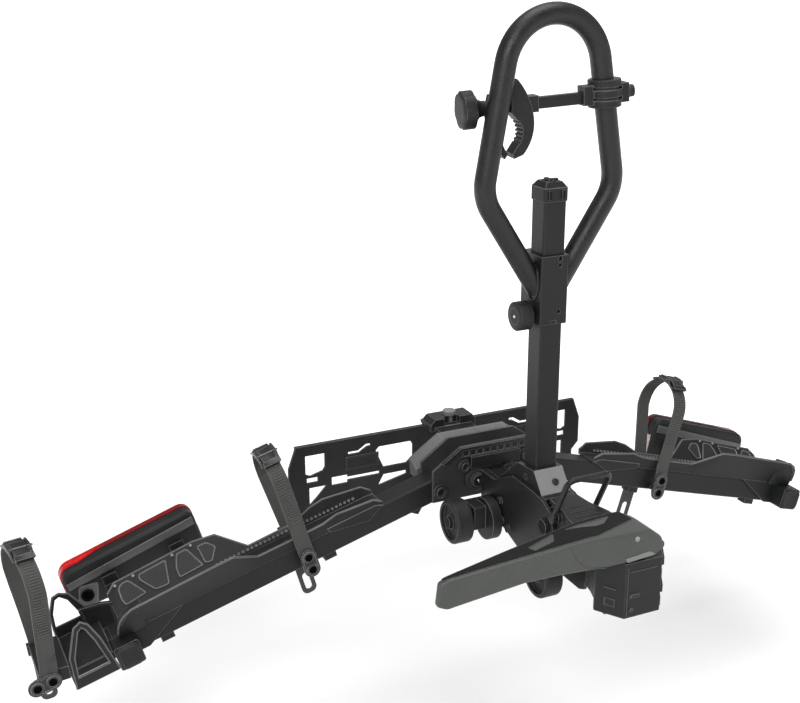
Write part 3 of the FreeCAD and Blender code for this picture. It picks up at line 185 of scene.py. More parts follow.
# Ledge on the lever's side: the lever's tone painted lighter, a painted highlight where its facet catches the
# light
ledgeAlloy = coated("ledgeAlloy", {**leverLook, "dark": (0.16, 0.165, 0.155), "light": (0.26, 0.265, 0.25)})
rivetGrey = coated("rivetGrey", {**leverLook, "dark": (0.2, 0.205, 0.195), "light": (0.36, 0.365, 0.35)})
inlayBlack = coated("inlayBlack", {**moulded, "rough": 0.7, "gloss": 0.12, "dark": (0.006, 0.006, 0.0065),
                                   "light": (0.016, 0.016, 0.0165)})
# Near black and dull: painted shade in the lamp sockets and the release plates' eyes, which are only shallow
holeShadeBlack = coated("holeShadeBlack", {**moulded, "rough": 0.85, "gloss": 0.03, "dark": (0.001, 0.001, 0.001),
                                 "light": (0.003, 0.003, 0.003), "edge": (0.03, 0.03, 0.03)})
castDark = coated("castDark", {**powder, "cloud": 26.0, "grain": 700.0, "ease": 0.0022, "bump": 0.6,
                               "dark": (0.007, 0.0073, 0.008), "light": (0.018, 0.0184, 0.019)})
strapRubber = coated("strapRubber", {**moulded, "cloud": 34.0, "grain": 1500.0, "ease": 0.0012, "gloss": 0.4,
                                     "dark": (0.03, 0.031, 0.029), "light": (0.058, 0.059, 0.055),
                                     "edge": (0.2, 0.202, 0.195)})
wheelRubber = coated("wheelRubber", {**moulded, "cloud": 40.0, "grain": 1000.0, "rough": 0.55, "bump": 0.5,
                                     "dark": (0.009, 0.009, 0.0095), "light": (0.022, 0.022, 0.0225),
                                     "edge": (0.2, 0.2, 0.202)})


def metal(name, look):
    # Bare or plated steel with turning marks and dull patches
    finish = Finish(bpy.data.materials.new(name))
    place = finish.place()
    cloud = finish.noise(place, 70.0, 4.0)
    stretched = finish.add("ShaderNodeMapping", {}, {"Vector": place, "Scale": (1.0, 1.0, 9.0)})
    lines = finish.noise(stretched, 700.0, 2.0)
    tone = finish.mixed((cloud * 1.4 - 0.2).clamped(), look["dark"], look["light"])
    return finish.shade({"Base Color": tone, "Roughness": look["rough"] + (cloud - 0.5) * 0.25,
                         "Metallic": 1.0,
                         "Normal": finish.relief(lines, 0.25, 0.0004, finish.softened(0.0008))})


darkPlated = metal("darkPlated", {"dark": (0.10, 0.10, 0.11), "light": (0.22, 0.22, 0.23), "rough": 0.4})
brightPin = metal("brightPin", {"dark": (0.45, 0.45, 0.46), "light": (0.72, 0.72, 0.73), "rough": 0.28})


def lensFinish(name, look):
    # Moulded lens: rows of small prisms under a clear gloss, deeper colour in the hollows
    finish = Finish(bpy.data.materials.new(name))
    place = finish.place()
    prisms = {"Vector": place, "Scale": 170.0}
    cells = finish.add("ShaderNodeTexVoronoi", {"feature": "F1"}, prisms, "Distance")
    cloud = finish.noise(place, 25.0)
    tone = finish.mixed((cells * 1.5).clamped(), look["light"], look["dark"])
    if "shaded" in look:
        # The rim that faces up and forward is deeper red, but for the lit outer end
        lean = finish.dot(finish.place("Normal"), (0, -0.7, 0.7))
        across = finish.add("ShaderNodeSeparateXYZ", {}, {"Vector": place}, "X")
        share = ((lean - 0.4) * 4.0).clamped() * ((across - look["shadedFrom"]) * 30.0).clamped()
        tone = finish.mixed(share, tone, look["shaded"])
    # Emission makes the lenses glow as painted light; the lamps are not lit
    return finish.shade({"Base Color": tone, "Roughness": 0.3 + cloud * 0.1, "Specular IOR Level": 0.2,
                         "Coat Weight": 0.1 + cloud * 0.1, "Emission Color": tone,
                         "Emission Strength": look["glow"],
                         "Normal": finish.relief(cells, look["bump"], 0.0008, finish.softened(0.0014))})


redLens = lensFinish("redLens", {"dark": (0.42, 0.002, 0.003), "light": (0.78, 0.004, 0.005),
                                 "bump": 0.12, "glow": 0.16, "shaded": (0.16, 0.003, 0.004),
                                 "shadedFrom": -0.612})
paleLens = lensFinish("paleLens", {"dark": (0.5, 0.36, 0.36), "light": (0.72, 0.56, 0.55), "bump": 0.3,
                                   "glow": 0.05})
# Right lens: the red lens painted darker, painted shade as that lamp lies in shadow
deepLens = lensFinish("deepLens", {"dark": (0.15, 0.003, 0.005), "light": (0.31, 0.008, 0.011),
                                   "bump": 0.3, "glow": 0.02, "shaded": (0.045, 0.008, 0.01),
                                   "shadedFrom": 0.0})
# Buckles: black plastic with a strong painted highlight along their edges
buckleBlack = coated("buckleBlack", {**moulded, "ease": 0.001, "rough": 0.36, "gloss": 0.45, "highlightGain": 8.0,
                                     "dark": (0.006, 0.006, 0.0065), "light": (0.016, 0.016, 0.0165),
                                     "edge": (0.36, 0.362, 0.362)})
studGrey = coated("studGrey", {**moulded, "ease": 0.0006, "dark": (0.06, 0.06, 0.061),
                               "light": (0.16, 0.16, 0.161), "edge": (0.4, 0.4, 0.4)})
boltBlack = coated("boltBlack", {**moulded, "ease": 0.001, "rough": 0.34, "gloss": 0.45,
                                 "dark": (0.006, 0.006, 0.0065), "light": (0.018, 0.018, 0.019)})
print("finishes made")


def dress(finish, names):
    for name in names:
        slots = nodes[name].data.materials
        slots.clear()
        slots.append(finish)


def pair(*names):
    return [name + side for name in names for side in ("_left", "_right")]


dress(powderSteel, ["hub_spine", "plate_support", "mast_tube", "collar", "neck_frame", "arm_bar",
                    "front_channel"] + pair("hub_plate", "wing_beam", "lamp_arms"))
dress(hubSteel, ["wing_plate_front", "wing_plate_rear"])
dress(bracketSteel, ["mast_bracket"])
dress(tubeSteel, ["loop_frame"])
dress(boltBlack, ["hub_fasteners"])
dress(inlayBlack, ["tilt_pin", "front_axle", "rear_axle"])
dress(darkPlated, ["lever_pin", "coupling_jaw"])
dress(castDark, ["coupling_housing"])
dress(leverAlloy, ["coupling_lever"])
dress(mouldedBlack, ["neck_cover", "mast_cap", "arm_clamp", "claw_fixed_jaw", "claw_moving_jaw", "claw_knob",
                     "collar_knob", "mast_release_button", "axle_carrier", "tray_extension",
                     "strap_buckle_outer", "latch_housing", "number_plate_holder"]
      + pair("wheel_tray", "end_block", "lamp_housing", "wing_lock_button", "strap_buckle"))
dress(mouldedGrey, ["centre_cover"])
dress(latchGrey, ["latch_knob"])
dress(strapRubber, ["wheel_strap_outer"] + pair("wheel_strap"))
dress(wheelRubber, pair("front_wheel", "rear_wheel"))
dress(redLens, pair("lamp_lens"))
print("solids dressed")

# Modelling helpers. Sizes are given in millimetres, and x, y, z of a wing's piece are u, y, v.
toInner, toOuter = Vector((-1, 0, 0)), Vector((1, 0, 0))
toFront, toBack = Vector((0, -1, 0)), Vector((0, 1, 0))
toBase, toTop = Vector((0, 0, -1)), Vector((0, 0, 1))
turns = {"x": (0, math.pi / 2, 0), "y": (math.pi / 2, 0, 0), "z": (0, 0, 0)}
bothSides = (("left", -1), ("right", 1))


def calm():
    if bpy.context.object and bpy.context.object.mode != "OBJECT":
        bpy.ops.object.mode_set(mode="OBJECT")
    bpy.ops.object.select_all(action="DESELECT")


def active(piece):
    calm()
    piece.select_set(True)
    bpy.context.view_layer.objects.active = piece


def settled(name):
    piece = bpy.context.object
    piece.name = name
    bpy.ops.object.transform_apply(location=True, rotation=True, scale=True)
    return piece


def editAll(piece):
    active(piece)
    bpy.ops.object.mode_set(mode="EDIT")
    bpy.ops.mesh.select_all(action="SELECT")


def doneEditing():
    bpy.ops.object.mode_set(mode="OBJECT")


def startBlock(name, low, high):
    calm()
    low, high = Vector(low) * mm, Vector(high) * mm
    bpy.ops.mesh.primitive_cube_add(size=1.0, location=(low + high) / 2)
    bpy.context.object.scale = high - low
    return settled(name)


def startRod(name, middle, axis, radius, length, sides=32):
    calm()
    bpy.ops.mesh.primitive_cylinder_add(vertices=sides, radius=radius * mm, depth=length * mm,
                                        location=Vector(middle) * mm, rotation=turns[axis])
    return settled(name)


def startSlab(name, points, by, corner=0.0, steps=3):
    # A flat outline, its corners rounded, drawn out into a slab
    calm()
    bpy.ops.mesh.primitive_circle_add(vertices=len(points), fill_type="NGON")
    piece = bpy.context.object
    piece.name = name
    for vertex, point in zip(piece.data.vertices, points):
        vertex.co = Vector(point) * mm
    editAll(piece)
    if corner:
        bpy.ops.mesh.bevel(offset=corner * mm, segments=steps, affect="VERTICES")
        bpy.ops.mesh.select_all(action="SELECT")
    bpy.ops.mesh.extrude_region_move(TRANSFORM_OT_translate={"value": Vector(by) * mm})
    bpy.ops.mesh.select_all(action="SELECT")
    bpy.ops.mesh.normals_make_consistent(inside=False)
    doneEditing()
    return piece


def shifted(x, y, z):
    return Matrix.Translation(Vector((x, y, z)) * mm)


def turned(degrees, axis):
    return Matrix.Rotation(math.radians(degrees), 4, axis)


def upright(line, y):
    return [(x, y, z) for x, z in line]


def pickFaces(piece, wanted):
    active(piece)
    bpy.ops.object.mode_set(mode="EDIT")
    bpy.ops.mesh.select_mode(type="FACE")
    bpy.ops.mesh.select_all(action="DESELECT")
    bpy.ops.object.mode_set(mode="OBJECT")
    for face in piece.data.polygons:
        face.select = wanted(face)
    bpy.ops.object.mode_set(mode="EDIT")


def stepped(piece, way, steps):
    # Draws the faces that look one way inward, each step a width and a rise.
    # Without a way it takes the faces that are picked already.
    if way:
        pickFaces(piece, lambda face: face.normal.dot(way) > 0.9)
    for width, rise in steps:
        bpy.ops.mesh.inset(thickness=width * mm, depth=rise * mm)
    doneEditing()
    return piece


def cutRings(way, places):
    # Adds a ring of edges at each place, in metres, to the piece that is being edited
    for place in places:
        bpy.ops.mesh.select_all(action="SELECT")
        bpy.ops.mesh.bisect(plane_co=way * place, plane_no=way)
    doneEditing()


def eased(piece, width, steps=2, angle=40):
    active(piece)
    bevel = piece.modifiers.new("ease", "BEVEL")
    bevel.width = width * mm
    bevel.segments = steps
    bevel.angle_limit = math.radians(angle)
    bpy.ops.object.modifier_apply(modifier="ease")
    return piece


def moved(piece, matrix):
    piece.data.transform(matrix)
    if matrix.determinant() < 0:
        piece.data.flip_normals()
    return piece


def copied(piece, name, matrix):
    twin = piece.copy()
    twin.data = piece.data.copy()
    twin.name = name
    bpy.context.collection.objects.link(twin)
    return moved(twin, matrix)


def gathered(name, pieces):
    active(pieces[0])
    for piece in pieces:
        piece.select_set(True)
    if len(pieces) > 1:
        bpy.ops.object.join()
    pieces[0].name = name
    return pieces[0]


def carried(piece, body, finish, angle=35):
    active(piece)
    piece.data.materials.clear()
    piece.data.materials.append(finish)
    bpy.ops.object.shade_smooth_by_angle(angle=math.radians(angle))
    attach(piece, body)
    return piece


# Each wing is drawn lying straight along u and is drooped, moved and mirrored to its side
wing = {"pivotX": 96.0, "pivotZ": -4.0, "droop": 16.0}


def wingMatrix(side):
    c = math.cos(math.radians(wing["droop"]))
    s = math.sin(math.radians(wing["droop"]))
    return Matrix(((side * c, 0, side * s, side * wing["pivotX"] * mm), (0, 1, 0, 0),
                   (-s, 0, c, wing["pivotZ"] * mm), (0, 0, 0, 1)))


def onBothWings(piece, name, finish):
    for word, side in bothSides:
        twin = copied(piece, name + word.capitalize(), wingMatrix(side))
        carried(twin, word + "_wing", finish)
    bpy.data.objects.remove(piece)


# Tray walls: outlined fields on the far wall, and pan head screws between them.
# Each place is u and a share of the way from the wall's foot up to its rim.
fields = {"outlines": [[(499, 0.79), (491, 0.9), (480, 0.9), (462, 0.27), (498, 0.19), (501, 0.43)],
                       [(464, 0.9), (418, 0.92), (428, 0.19), (450, 0.22), (466, 0.72)],
                       [(402, 0.92), (384, 0.92), (371, 0.25), (412, 0.22), (411, 0.53)],
                       [(370, 0.84), (354, 0.84), (343, 0.6), (357, 0.24), (369, 0.27)]],
          "height": 1.4, "sunk": 0.5, "round": 3.7, "steps": ((0.5, 0.5), (0.9, 0), (0.3, -0.6)),
          "out": (0, -0.69, 0.72), "footY": 400.4, "footV": 21.1, "rimY": 439.4, "rimV": 58.0,
          "bend": 372.0, "fall": 6.0 / 128,
          "screws": ((500.5, 0.9), (471.0, 0.92), (407.5, 0.93), (377.0, 0.93)),
          "screw": ((0, 0, 1.6), "z", 2.3, 2.0, 20), "screwSteps": ((0.7, 0.5), (0.8, 0), (0.2, -0.5))}


def wallPoint(fields, u, share):
    # The rim falls a little from the wall's bend to its outer end
    rimV = fields["rimV"] - fields["fall"] * (u - fields["bend"])
    return Vector((u, fields["footY"] + (fields["rimY"] - fields["footY"]) * share,
                   fields["footV"] + (rimV - fields["footV"]) * share))


def trayFields(fields):
    out = Vector(fields["out"]).normalized()
    sunk = fields["sunk"]
    made = []
    for line in fields["outlines"]:
        corners = [wallPoint(fields, max(u, fields["bend"]), share) - out * sunk for u, share in line]
        for corner, (u, share) in zip(corners, line):
            corner.x = u
        field = startSlab("field", corners, out * (fields["height"] + sunk), fields["round"], 4)
        made.append(stepped(field, out, fields["steps"]))
    return gathered("trayFields", made)


def standing(out):
    return toTop.rotation_difference(Vector(out).normalized()).to_matrix().to_4x4()


def wallScrews(fields):
    made = []
    for u, share in fields["screws"]:
        screw = stepped(startRod("screw", *fields["screw"]), toTop, fields["screwSteps"])
        spot = shifted(*wallPoint(fields, u, share))
        made.append(moved(screw, spot @ standing(fields["out"])))
    return gathered("wallScrews", made)


onBothWings(trayFields(fields), "trayFields", fieldBlack)
onBothWings(wallScrews(fields), "wallScrews", latchGrey)

# Row of small studs along the foot of the far wall
studs = {"first": 124.0, "step": 7.2, "count": 33, "y": 402.3, "v": 26.0, "out": (0, -0.8, 0.6),
         "rod": ((0, 0, 0.75), "z", 2.3, 2.1, 10), "steps": ((0.6, 0.3), (0.2, -0.9))}


def floorStuds(studs):
    made = []
    for index in range(studs["count"]):
        stud = stepped(startRod("stud", *studs["rod"]), toTop, studs["steps"])
        spot = shifted(studs["first"] + index * studs["step"], studs["y"], studs["v"])
        made.append(moved(stud, spot @ standing(studs["out"])))
    return gathered("floorStuds", made)


onBothWings(floorStuds(studs), "floorStuds", studGrey)
print("trays detailed")

# Lamps: a rounded housing with a raised band, a frame and a cable socket, and a lens that wraps its back
lamp = {"start": 346.0, "end": 567.0, "front": 524.0, "back": 548.0, "low": -24.0, "top": 65.0, "taper": 10.0,
        "lift": 8.0, "round": 17.0, "faceDeep": 4.0, "faceSteps": ((1.6, 1.2), (3.0, 2.4)),
        "lensDepth": 9.0, "lensRound": 19.0, "lensOver": 1.6,
        "lensSteps": ((2.0, 1.8), (5.0, 1.1), (2.0, 0), (1.0, -1.0)),
        "lipDeep": 10.0, "lipThin": 1.6, "lipFrom": 532.0, "lipStep": 26.0, "rise": 2.6,
        "raised": [([(350.5, 53), (563, 37), (562, 25), (350.5, 39)], 0.0, ((3.6, 0.8),)),
                   ([(517, 19), (549, 25), (559, -9), (530, -16)], 5.5, ((2.2, 0.8), (0.6, -1.0)))],
        "socket": ((540.5, 522.8, 5.5), "y", 10.0, 5.2, 36),
        "socketSteps": ((1.2, 0.4), (0.8, -1.9), (3.0, -0.2)),
        "marker": [(529.0, -9), (546.5, -13), (545.5, 29), (532.0, 30)]}


def lampOutline(lamp, y, over):
    return [(lamp["start"] - over, y, lamp["low"] - over),
            (lamp["end"] + over, y, lamp["low"] + lamp["lift"] - over),
            (lamp["end"] + over, y, lamp["top"] - lamp["taper"] + over),
            (lamp["start"] - over, y, lamp["top"] + over)]


def lampHousing(lamp):
    deep = lamp["front"] + lamp["faceDeep"] - lamp["back"]
    shell = startSlab("lampHousing", lampOutline(lamp, lamp["back"], 0), (0, deep, 0), lamp["round"], 8)
    return eased(stepped(shell, toFront, lamp["faceSteps"]), 0.8, 2, 30)


def lampRidge(lamp):
    # Raised band along the face and the frame round the cable socket
    made = []
    for line, corner, steps in lamp["raised"]:
        piece = startSlab("raised", upright(line, lamp["front"] + 1), (0, -lamp["rise"], 0), corner, 4)
        made.append(eased(stepped(piece, toFront, steps), 0.4, 2, 30))
    return gathered("lampRidge", made)


def lampSocket(lamp):
    return stepped(startRod("lampSocket", *lamp["socket"]), toFront, lamp["socketSteps"])


def lampLens(lamp):
    over, corner, deep = lamp["lensOver"], lamp["lensRound"], lamp["lipDeep"]
    lens = startSlab("lampLens", lampOutline(lamp, lamp["back"] + 0.1, over), (0, lamp["lensDepth"], 0),
                     corner, 8)
    eased(stepped(lens, toBack, lamp["lensSteps"]), 0.7, 2, 25)
    lip = startSlab("lensLip", lampOutline(lamp, lamp["back"] - deep, over), (0, deep + 0.2, 0), corner, 8)
    editAll(lip)
    cutRings(toOuter, [u * mm for u in (lamp["lipFrom"], lamp["lipFrom"] - lamp["lipStep"])])
    for vertex in lip.data.vertices:
        # The lip is deep round the outer end and thin along the rest
        if vertex.co.y < (lamp["back"] - 1) * mm:
            share = min(1.0, max(0.0, (lamp["lipFrom"] - vertex.co.x / mm) / lamp["lipStep"]))
            vertex.co.y += share * (deep - lamp["lipThin"]) * mm
    return gathered("lampLens", [lens, eased(lip, 0.6, 2, 30)])


def sideLens(lamp):
    # Pale marker lens let into the housing's inner end
    line = [(lamp["start"] - 1, y, v) for y, v in lamp["marker"]]
    return stepped(startSlab("sideLens", line, (2.4, 0, 0), 1.8), toInner, ((1.2, 0.5), (0.8, -0.3)))


def fitLamps(lamp):
    shell, lens, glass = lampHousing(lamp), lampLens(lamp), sideLens(lamp)
    onBothWings(lampRidge(lamp), "lampRidge", rimBlack)
    onBothWings(lampSocket(lamp), "lampSocket", holeShadeBlack)
    for word, side in bothSides:
        body, place, end = word + "_wing", wingMatrix(side), word.capitalize()
        one = carried(copied(shell, "lampShell" + end, place), body, mouldedBlack)
        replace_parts(one, "lamp_housing_" + word)
        # The right lens gets the darker red with painted shade
        two = carried(copied(lens, "lampLens" + end, place), body, redLens if side < 0 else deepLens)
        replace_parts(two, "lamp_lens_" + word)
        carried(copied(glass, "sideLens" + end, place), body, paleLens)
    for spare in (shell, lens, glass):
        bpy.data.objects.remove(spare)


fitLamps(lamp)
print("lamps fitted")

# Wheel straps: ladder teeth, buckles wrapped on the crown, and oval release plates
strap = {"u": 232.0, "near": 350.0, "far": 442.0, "rise": 165.0, "peg": -14.0, "sheet": 2.6, "foot": 28.0,
         "lean": 0.0, "swing": 0.0, "toothLow": 66.0}
outerStrap = {"u": 631.0, "near": 323.0, "far": 425.0, "rise": 207.0, "peg": 26.0, "sheet": 2.6, "foot": 28.0,
              "lean": -10.0, "swing": 100.0, "toothLow": 96.0,
              "twist": 9.0, "twistFrom": 34.0, "twistOver": 120.0}
teeth = {"low": (-7.5, -0.9, -0.2), "high": (7.5, 0.9, 1.1), "topX": 0.95, "topY": 0.55, "step": 4.0,
         "from": 0.03, "until": 32}
buckle = {"blocks": [((-15.5, -30, -0.1), (15.5, 26, 3.0), 1.0, ((2.0, 0), (0.6, -0.8))),
                     ((-15.8, -22, 1.0), (-12.6, 8, 8.5), 0.62, ()),
                     ((12.6, -22, 1.0), (15.8, 8, 8.5), 0.62, ()),
                     ((-11.5, -26, 4.0), (11.5, 4, 7.5), 1.0, ((2.2, 0), (0.8, -1.2))),
                     ((-13, -33, 3.0), (13, -26, 8.0), 1.0, ()), ((-12, 10, 2.5), (12, 15, 7.0), 1.0, ())],
          "cuts": 6, "pin": ((0, -12, 6), "x", 1.5, 35.5, 16)}
plate = {"eyes": (-3, 19), "ahead": 6.2, "radius": 12.6, "back": 1.5, "deep": 2.6,
         "steps": ((0.9, 0.5), (1.6, 0), (0.6, -0.8)),
         "ring": (-0.9, 8.6, 2.4, 32, ((0.8, 0.5), (1.4, 0), (0.6, -1.6))),
         "hole": (-1.8, 6.2, 2.0, 28, ((2.6, 0), (0.6, -0.3)))}


def crownOf(strap):
    # Middle, height and outer radius of the half circle at the strap's top
    half = (strap["far"] - strap["near"]) / 2
    return (strap["near"] + strap["far"]) / 2, strap["rise"] - half, half + strap["sheet"]


def strapPlace(strap, side):
    spot = shifted(strap["u"], 0, strap["foot"])
    return wingMatrix(side) @ (spot @ turned(strap["lean"], "Y") @ spot.inverted())


def twisted(piece, strap):
    # The outer strap's loop is turned a little, more towards its crown
    middle = crownOf(strap)[0]
    for vertex in piece.data.vertices:
        share = min(1.0, max(0.0, (vertex.co.z / mm - strap["twistFrom"]) / strap["twistOver"]))
        vertex.co.x += share * strap["twist"] * (vertex.co.y - middle * mm) / (strap["far"] - middle)
    piece.data.update()


def wrapped(piece, strap):
    # Rolls a flat piece, drawn with its length along y, onto the strap's crown
    middle, crown, radius = crownOf(strap)
    for vertex in piece.data.vertices:
        s, height = vertex.co.y / mm, vertex.co.z / mm
        angle = s / radius
        vertex.co.y = (middle + (radius + height) * math.sin(angle)) * mm
        vertex.co.z = (crown + (radius + height) * math.cos(angle)) * mm
        vertex.co.x += strap["u"] * mm
    piece.data.update()
    return piece


def sliced(piece, cuts):
    # Cuts the long sides so that the piece can be rolled
    editAll(piece)
    low = min(corner[1] for corner in piece.bound_box)
    high = max(corner[1] for corner in piece.bound_box)
    cutRings(toBack, [low + (high - low) * index / cuts for index in range(1, cuts)])


def strapTeeth(strap):
    tooth = startBlock("tooth", teeth["low"], teeth["high"])
    for vertex in tooth.data.vertices:
        if vertex.co.z > 0:
            vertex.co.y *= teeth["topY"]
            vertex.co.x *= teeth["topX"]
    middle, crown, radius = crownOf(strap)
    made = []
    v = strap["toothLow"]
    while v < crown:
        spot = shifted(strap["u"], strap["near"] - strap["sheet"], v)
        made.append(copied(tooth, "tooth", spot @ turned(90, "X")))
        v += teeth["step"]
    angle = -math.pi / 2 + teeth["from"]
    while angle < -math.radians(teeth["until"]):
        spot = shifted(strap["u"], middle + radius * math.sin(angle), crown + radius * math.cos(angle))
        made.append(copied(tooth, "tooth", spot @ Matrix.Rotation(-angle, 4, "X")))
        angle += teeth["step"] / radius
    bpy.data.objects.remove(tooth)
    return gathered("strapTeeth", made)


def strapBuckle(strap):
    # Base, two cheeks that narrow upward, lever, lip and bar
    made = []
    for low, high, narrow, steps in buckle["blocks"]:
        part = startBlock("part", low, high)
        for vertex in part.data.vertices:
            if vertex.co.z > 4 * mm:
                vertex.co.y *= narrow
        made.append(stepped(part, toTop, steps))
    for part in made:
        sliced(part, buckle["cuts"])
        eased(part, 0.7, 2, 30)
    return wrapped(gathered("strapBuckle", made), strap)


def bucklePin(strap):
    pin = startRod("bucklePin", *buckle["pin"])
    pickFaces(pin, lambda face: abs(face.normal.x) > 0.9)
    return wrapped(stepped(pin, None, ((0.6, 0.5),)), strap)


def onFoot(piece, strap):
    # Turns a piece drawn round the strap's foot and puts it on the strap's peg
    spot = shifted(strap["u"], strap["near"] - strap["sheet"] - plate["ahead"], strap["peg"])
    return moved(piece, spot @ turned(strap["swing"], "Y"))


def plateEyes(key):
    y, radius, length, count, steps = plate[key]
    made = [startRod(key, (0, y, v), "y", radius, length, count) for v in plate["eyes"]]
    return [stepped(piece, toFront, steps) for piece in made]


def releasePlate(strap):
    # Oval plate with two round eyes over the strap's foot
    low, high = plate["eyes"]
    line = []
    for middle, start in ((high, 0), (low, 180)):
        for step in range(11):
            angle = math.radians(start + step * 18)
            line.append((plate["radius"] * math.cos(angle), plate["back"],
                         middle + plate["radius"] * math.sin(angle)))
    made = [stepped(startSlab("releasePlate", line, (0, -plate["deep"], 0)), toFront, plate["steps"])]
    return onFoot(gathered("releasePlate", made + plateEyes("ring")), strap)


# The eyes are shallow discs in painted shade
def plateHoles(strap):
    return onFoot(gathered("plateHoles", plateEyes("hole")), strap)


def fitStrap(strap, word, side, body):
    for maker, name, finish, slot in ((strapTeeth, "strapTeeth", strapRubber, "strap_rubber"),
                                      (strapBuckle, "strapBuckle", buckleBlack, "black_plastic"),
                                      (bucklePin, "bucklePin", darkPlated, "dark_metal"),
                                      (releasePlate, "releasePlate", buckleBlack, "strap_rubber"),
                                      (plateHoles, "plateHoles", holeShadeBlack, "strap_rubber")):
        drawn = maker(strap)
        if "twist" in strap:
            twisted(drawn, strap)
        fitted = copied(drawn, name + word.capitalize(), strapPlace(strap, side))
        carried(fitted, body, finish)
        bpy.data.objects.remove(drawn)
        if name == "strapBuckle":
            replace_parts(fitted, "strap_buckle_" + word)


fitStrap(strap, "left", -1, "left_wing")
fitStrap(strap, "right", 1, "right_wing")
fitStrap(outerStrap, "outer", -1, "extension")


def turnedStrap(strap):
    # A copy of the outer strap's own solid, given the same turn as its buckle and teeth
    place = strapPlace(strap, -1)
    piece = copied(nodes["wheel_strap_outer"], "outerStrapBand", place.inverted())
    editAll(piece)
    bpy.ops.mesh.remove_doubles(threshold=0.00001)
    cutRings(toTop, [v * mm for v in range(40, 160, 12)])
    twisted(piece, strap)
    moved(piece, place)
    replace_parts(carried(piece, "extension", strapRubber), "wheel_strap_outer")


turnedStrap(outerStrap)
print("straps fitted")

# Rolled beads along the rims of the trays and the pull-out cradle
rims = {"radius": 1.7,
        "far": [(94, 402, 27), (106, 406.8, 36), (168, 410.8, 44), (192, 410.8, 40), (222, 410.8, 28),
                (300, 410.8, 27), (338, 438.6, 54), (372, 440.6, 58), (500, 440.6, 52), (515, 434.8, 42.4)],
        "near": [(94, 357.4, 27), (106, 356.2, 36), (168, 354.4, 43), (192, 354.4, 38), (222, 354.4, 37),
                 (300, 354.4, 37), (338, 329.4, 69), (372, 327.4, 70), (496, 327.0, 66.4),
                 (508, 328.4, 61.2), (516, 331.4, 53.6), (521.5, 335.6, 43.2), (525, 340.4, 31)]}
cradle = {"radius": 1.6, "near": 329.3, "far": 424.7,
          "nearLine": [(541, -13), (549, 47), (557, 75), (565, 83), (576, 78), (597, 37), (604.5, -13)],
          "nearHole": [(550, 3), (556, 46), (562, 69), (566, 75), (573, 71), (591, 34), (597, 3)],
          "farLine": [(541, 10), (553, 52), (565, 78), (577, 85), (587, 83), (599, 60), (603, 34),
                      (604.5, 10)]}


def bead(name, points, radius, closed=False):
    curve = bpy.data.curves.new(name, "CURVE")
    curve.dimensions = "3D"
    curve.bevel_depth = radius * mm
    curve.bevel_resolution = 3
    curve.use_fill_caps = True
    line = curve.splines.new("POLY")
    line.points.add(len(points) - 1)
    for corner, point in zip(line.points, points):
        corner.co = (point[0] * mm, point[1] * mm, point[2] * mm, 1)
    line.use_cyclic_u = closed
    piece = bpy.data.objects.new(name, curve)
    bpy.context.collection.objects.link(piece)
    active(piece)
    bpy.ops.object.convert(target="MESH")
    return bpy.context.object


def trayRims(rims):
    return gathered("trayRims", [bead("rim", rims[key], rims["radius"]) for key in ("far", "near")])


def cradleRims(cradle):
    made = []
    for key, y in (("nearLine", "near"), ("nearHole", "near"), ("farLine", "far")):
        made.append(bead("rim", upright(cradle[key], cradle[y]), cradle["radius"], key == "nearHole"))
    piece = moved(gathered("cradleRims", made), wingMatrix(-1))
    return carried(piece, "extension", rimBlack)


onBothWings(trayRims(rims), "trayRims", rimBlack)
cradleRims(cradle)

# End pads on the near ends of the trays
pad = {"line": [(504.0, -17.5), (539.0, -17.5), (539.0, 18.5), (504.0, 18.5)], "y": 326.0, "corner": 8.0,
       "depth": 3.0, "steps": ((2.2, 1.2), (1.4, 0), (0.6, -0.5))}


def endPad(pad):
    piece = startSlab("endPad", upright(pad["line"], pad["y"]), (0, -pad["depth"], 0), pad["corner"], 2)
    return eased(stepped(piece, toFront, pad["steps"]), 0.6, 2, 30)


onBothWings(endPad(pad), "endPad", mouldedBlack)

# Rounded hood that closes each tray's near wall, and the apron that ties the cradle to its slide
hood = {"near": 326.4, "deep": 16.0, "wall": 2.6, "lean": 0.4, "top": 66.0, "under": 500.0, "slant": 0.28,
        "line": [(480, 67.4), (496, 66.0), (508, 61.0), (516, 53.5), (521.5, 43), (525, 31), (527, 17),
                 (484, 17)],
        "apron": [(517, -2), (513, 37), (530, 44), (562, 50), (560, 0)], "apronY": (418.0, 424.0)}


def endHood(hood):
    piece = startSlab("endHood", upright(hood["line"], hood["near"]), (0, hood["deep"], 0))
    stepped(piece, toBack, ((hood["wall"], 0), (0.6, hood["wall"] - hood["deep"])))
    eased(piece, 1.3, 3, 28)
    for vertex in piece.data.vertices:
        # Leans back with the wall it closes, and runs in under it
        vertex.co.y += (hood["top"] * mm - vertex.co.z) * hood["lean"]
        vertex.co.y += max(0.0, hood["under"] * mm - vertex.co.x) * hood["slant"]
    piece.data.update()
    return piece


def cradleApron(hood):
    low, high = hood["apronY"]
    piece = startSlab("cradleApron", upright(hood["apron"], high), (0, low - high, 0), 3.0)
    eased(stepped(piece, toFront, ((3.0, 0), (1.0, -1.0))), 0.8, 2, 30)
    return carried(moved(piece, wingMatrix(-1)), "extension", mouldedBlack)


onBothWings(endHood(hood), "endHood", mouldedBlack)
cradleApron(hood)
print("rims and pads made")

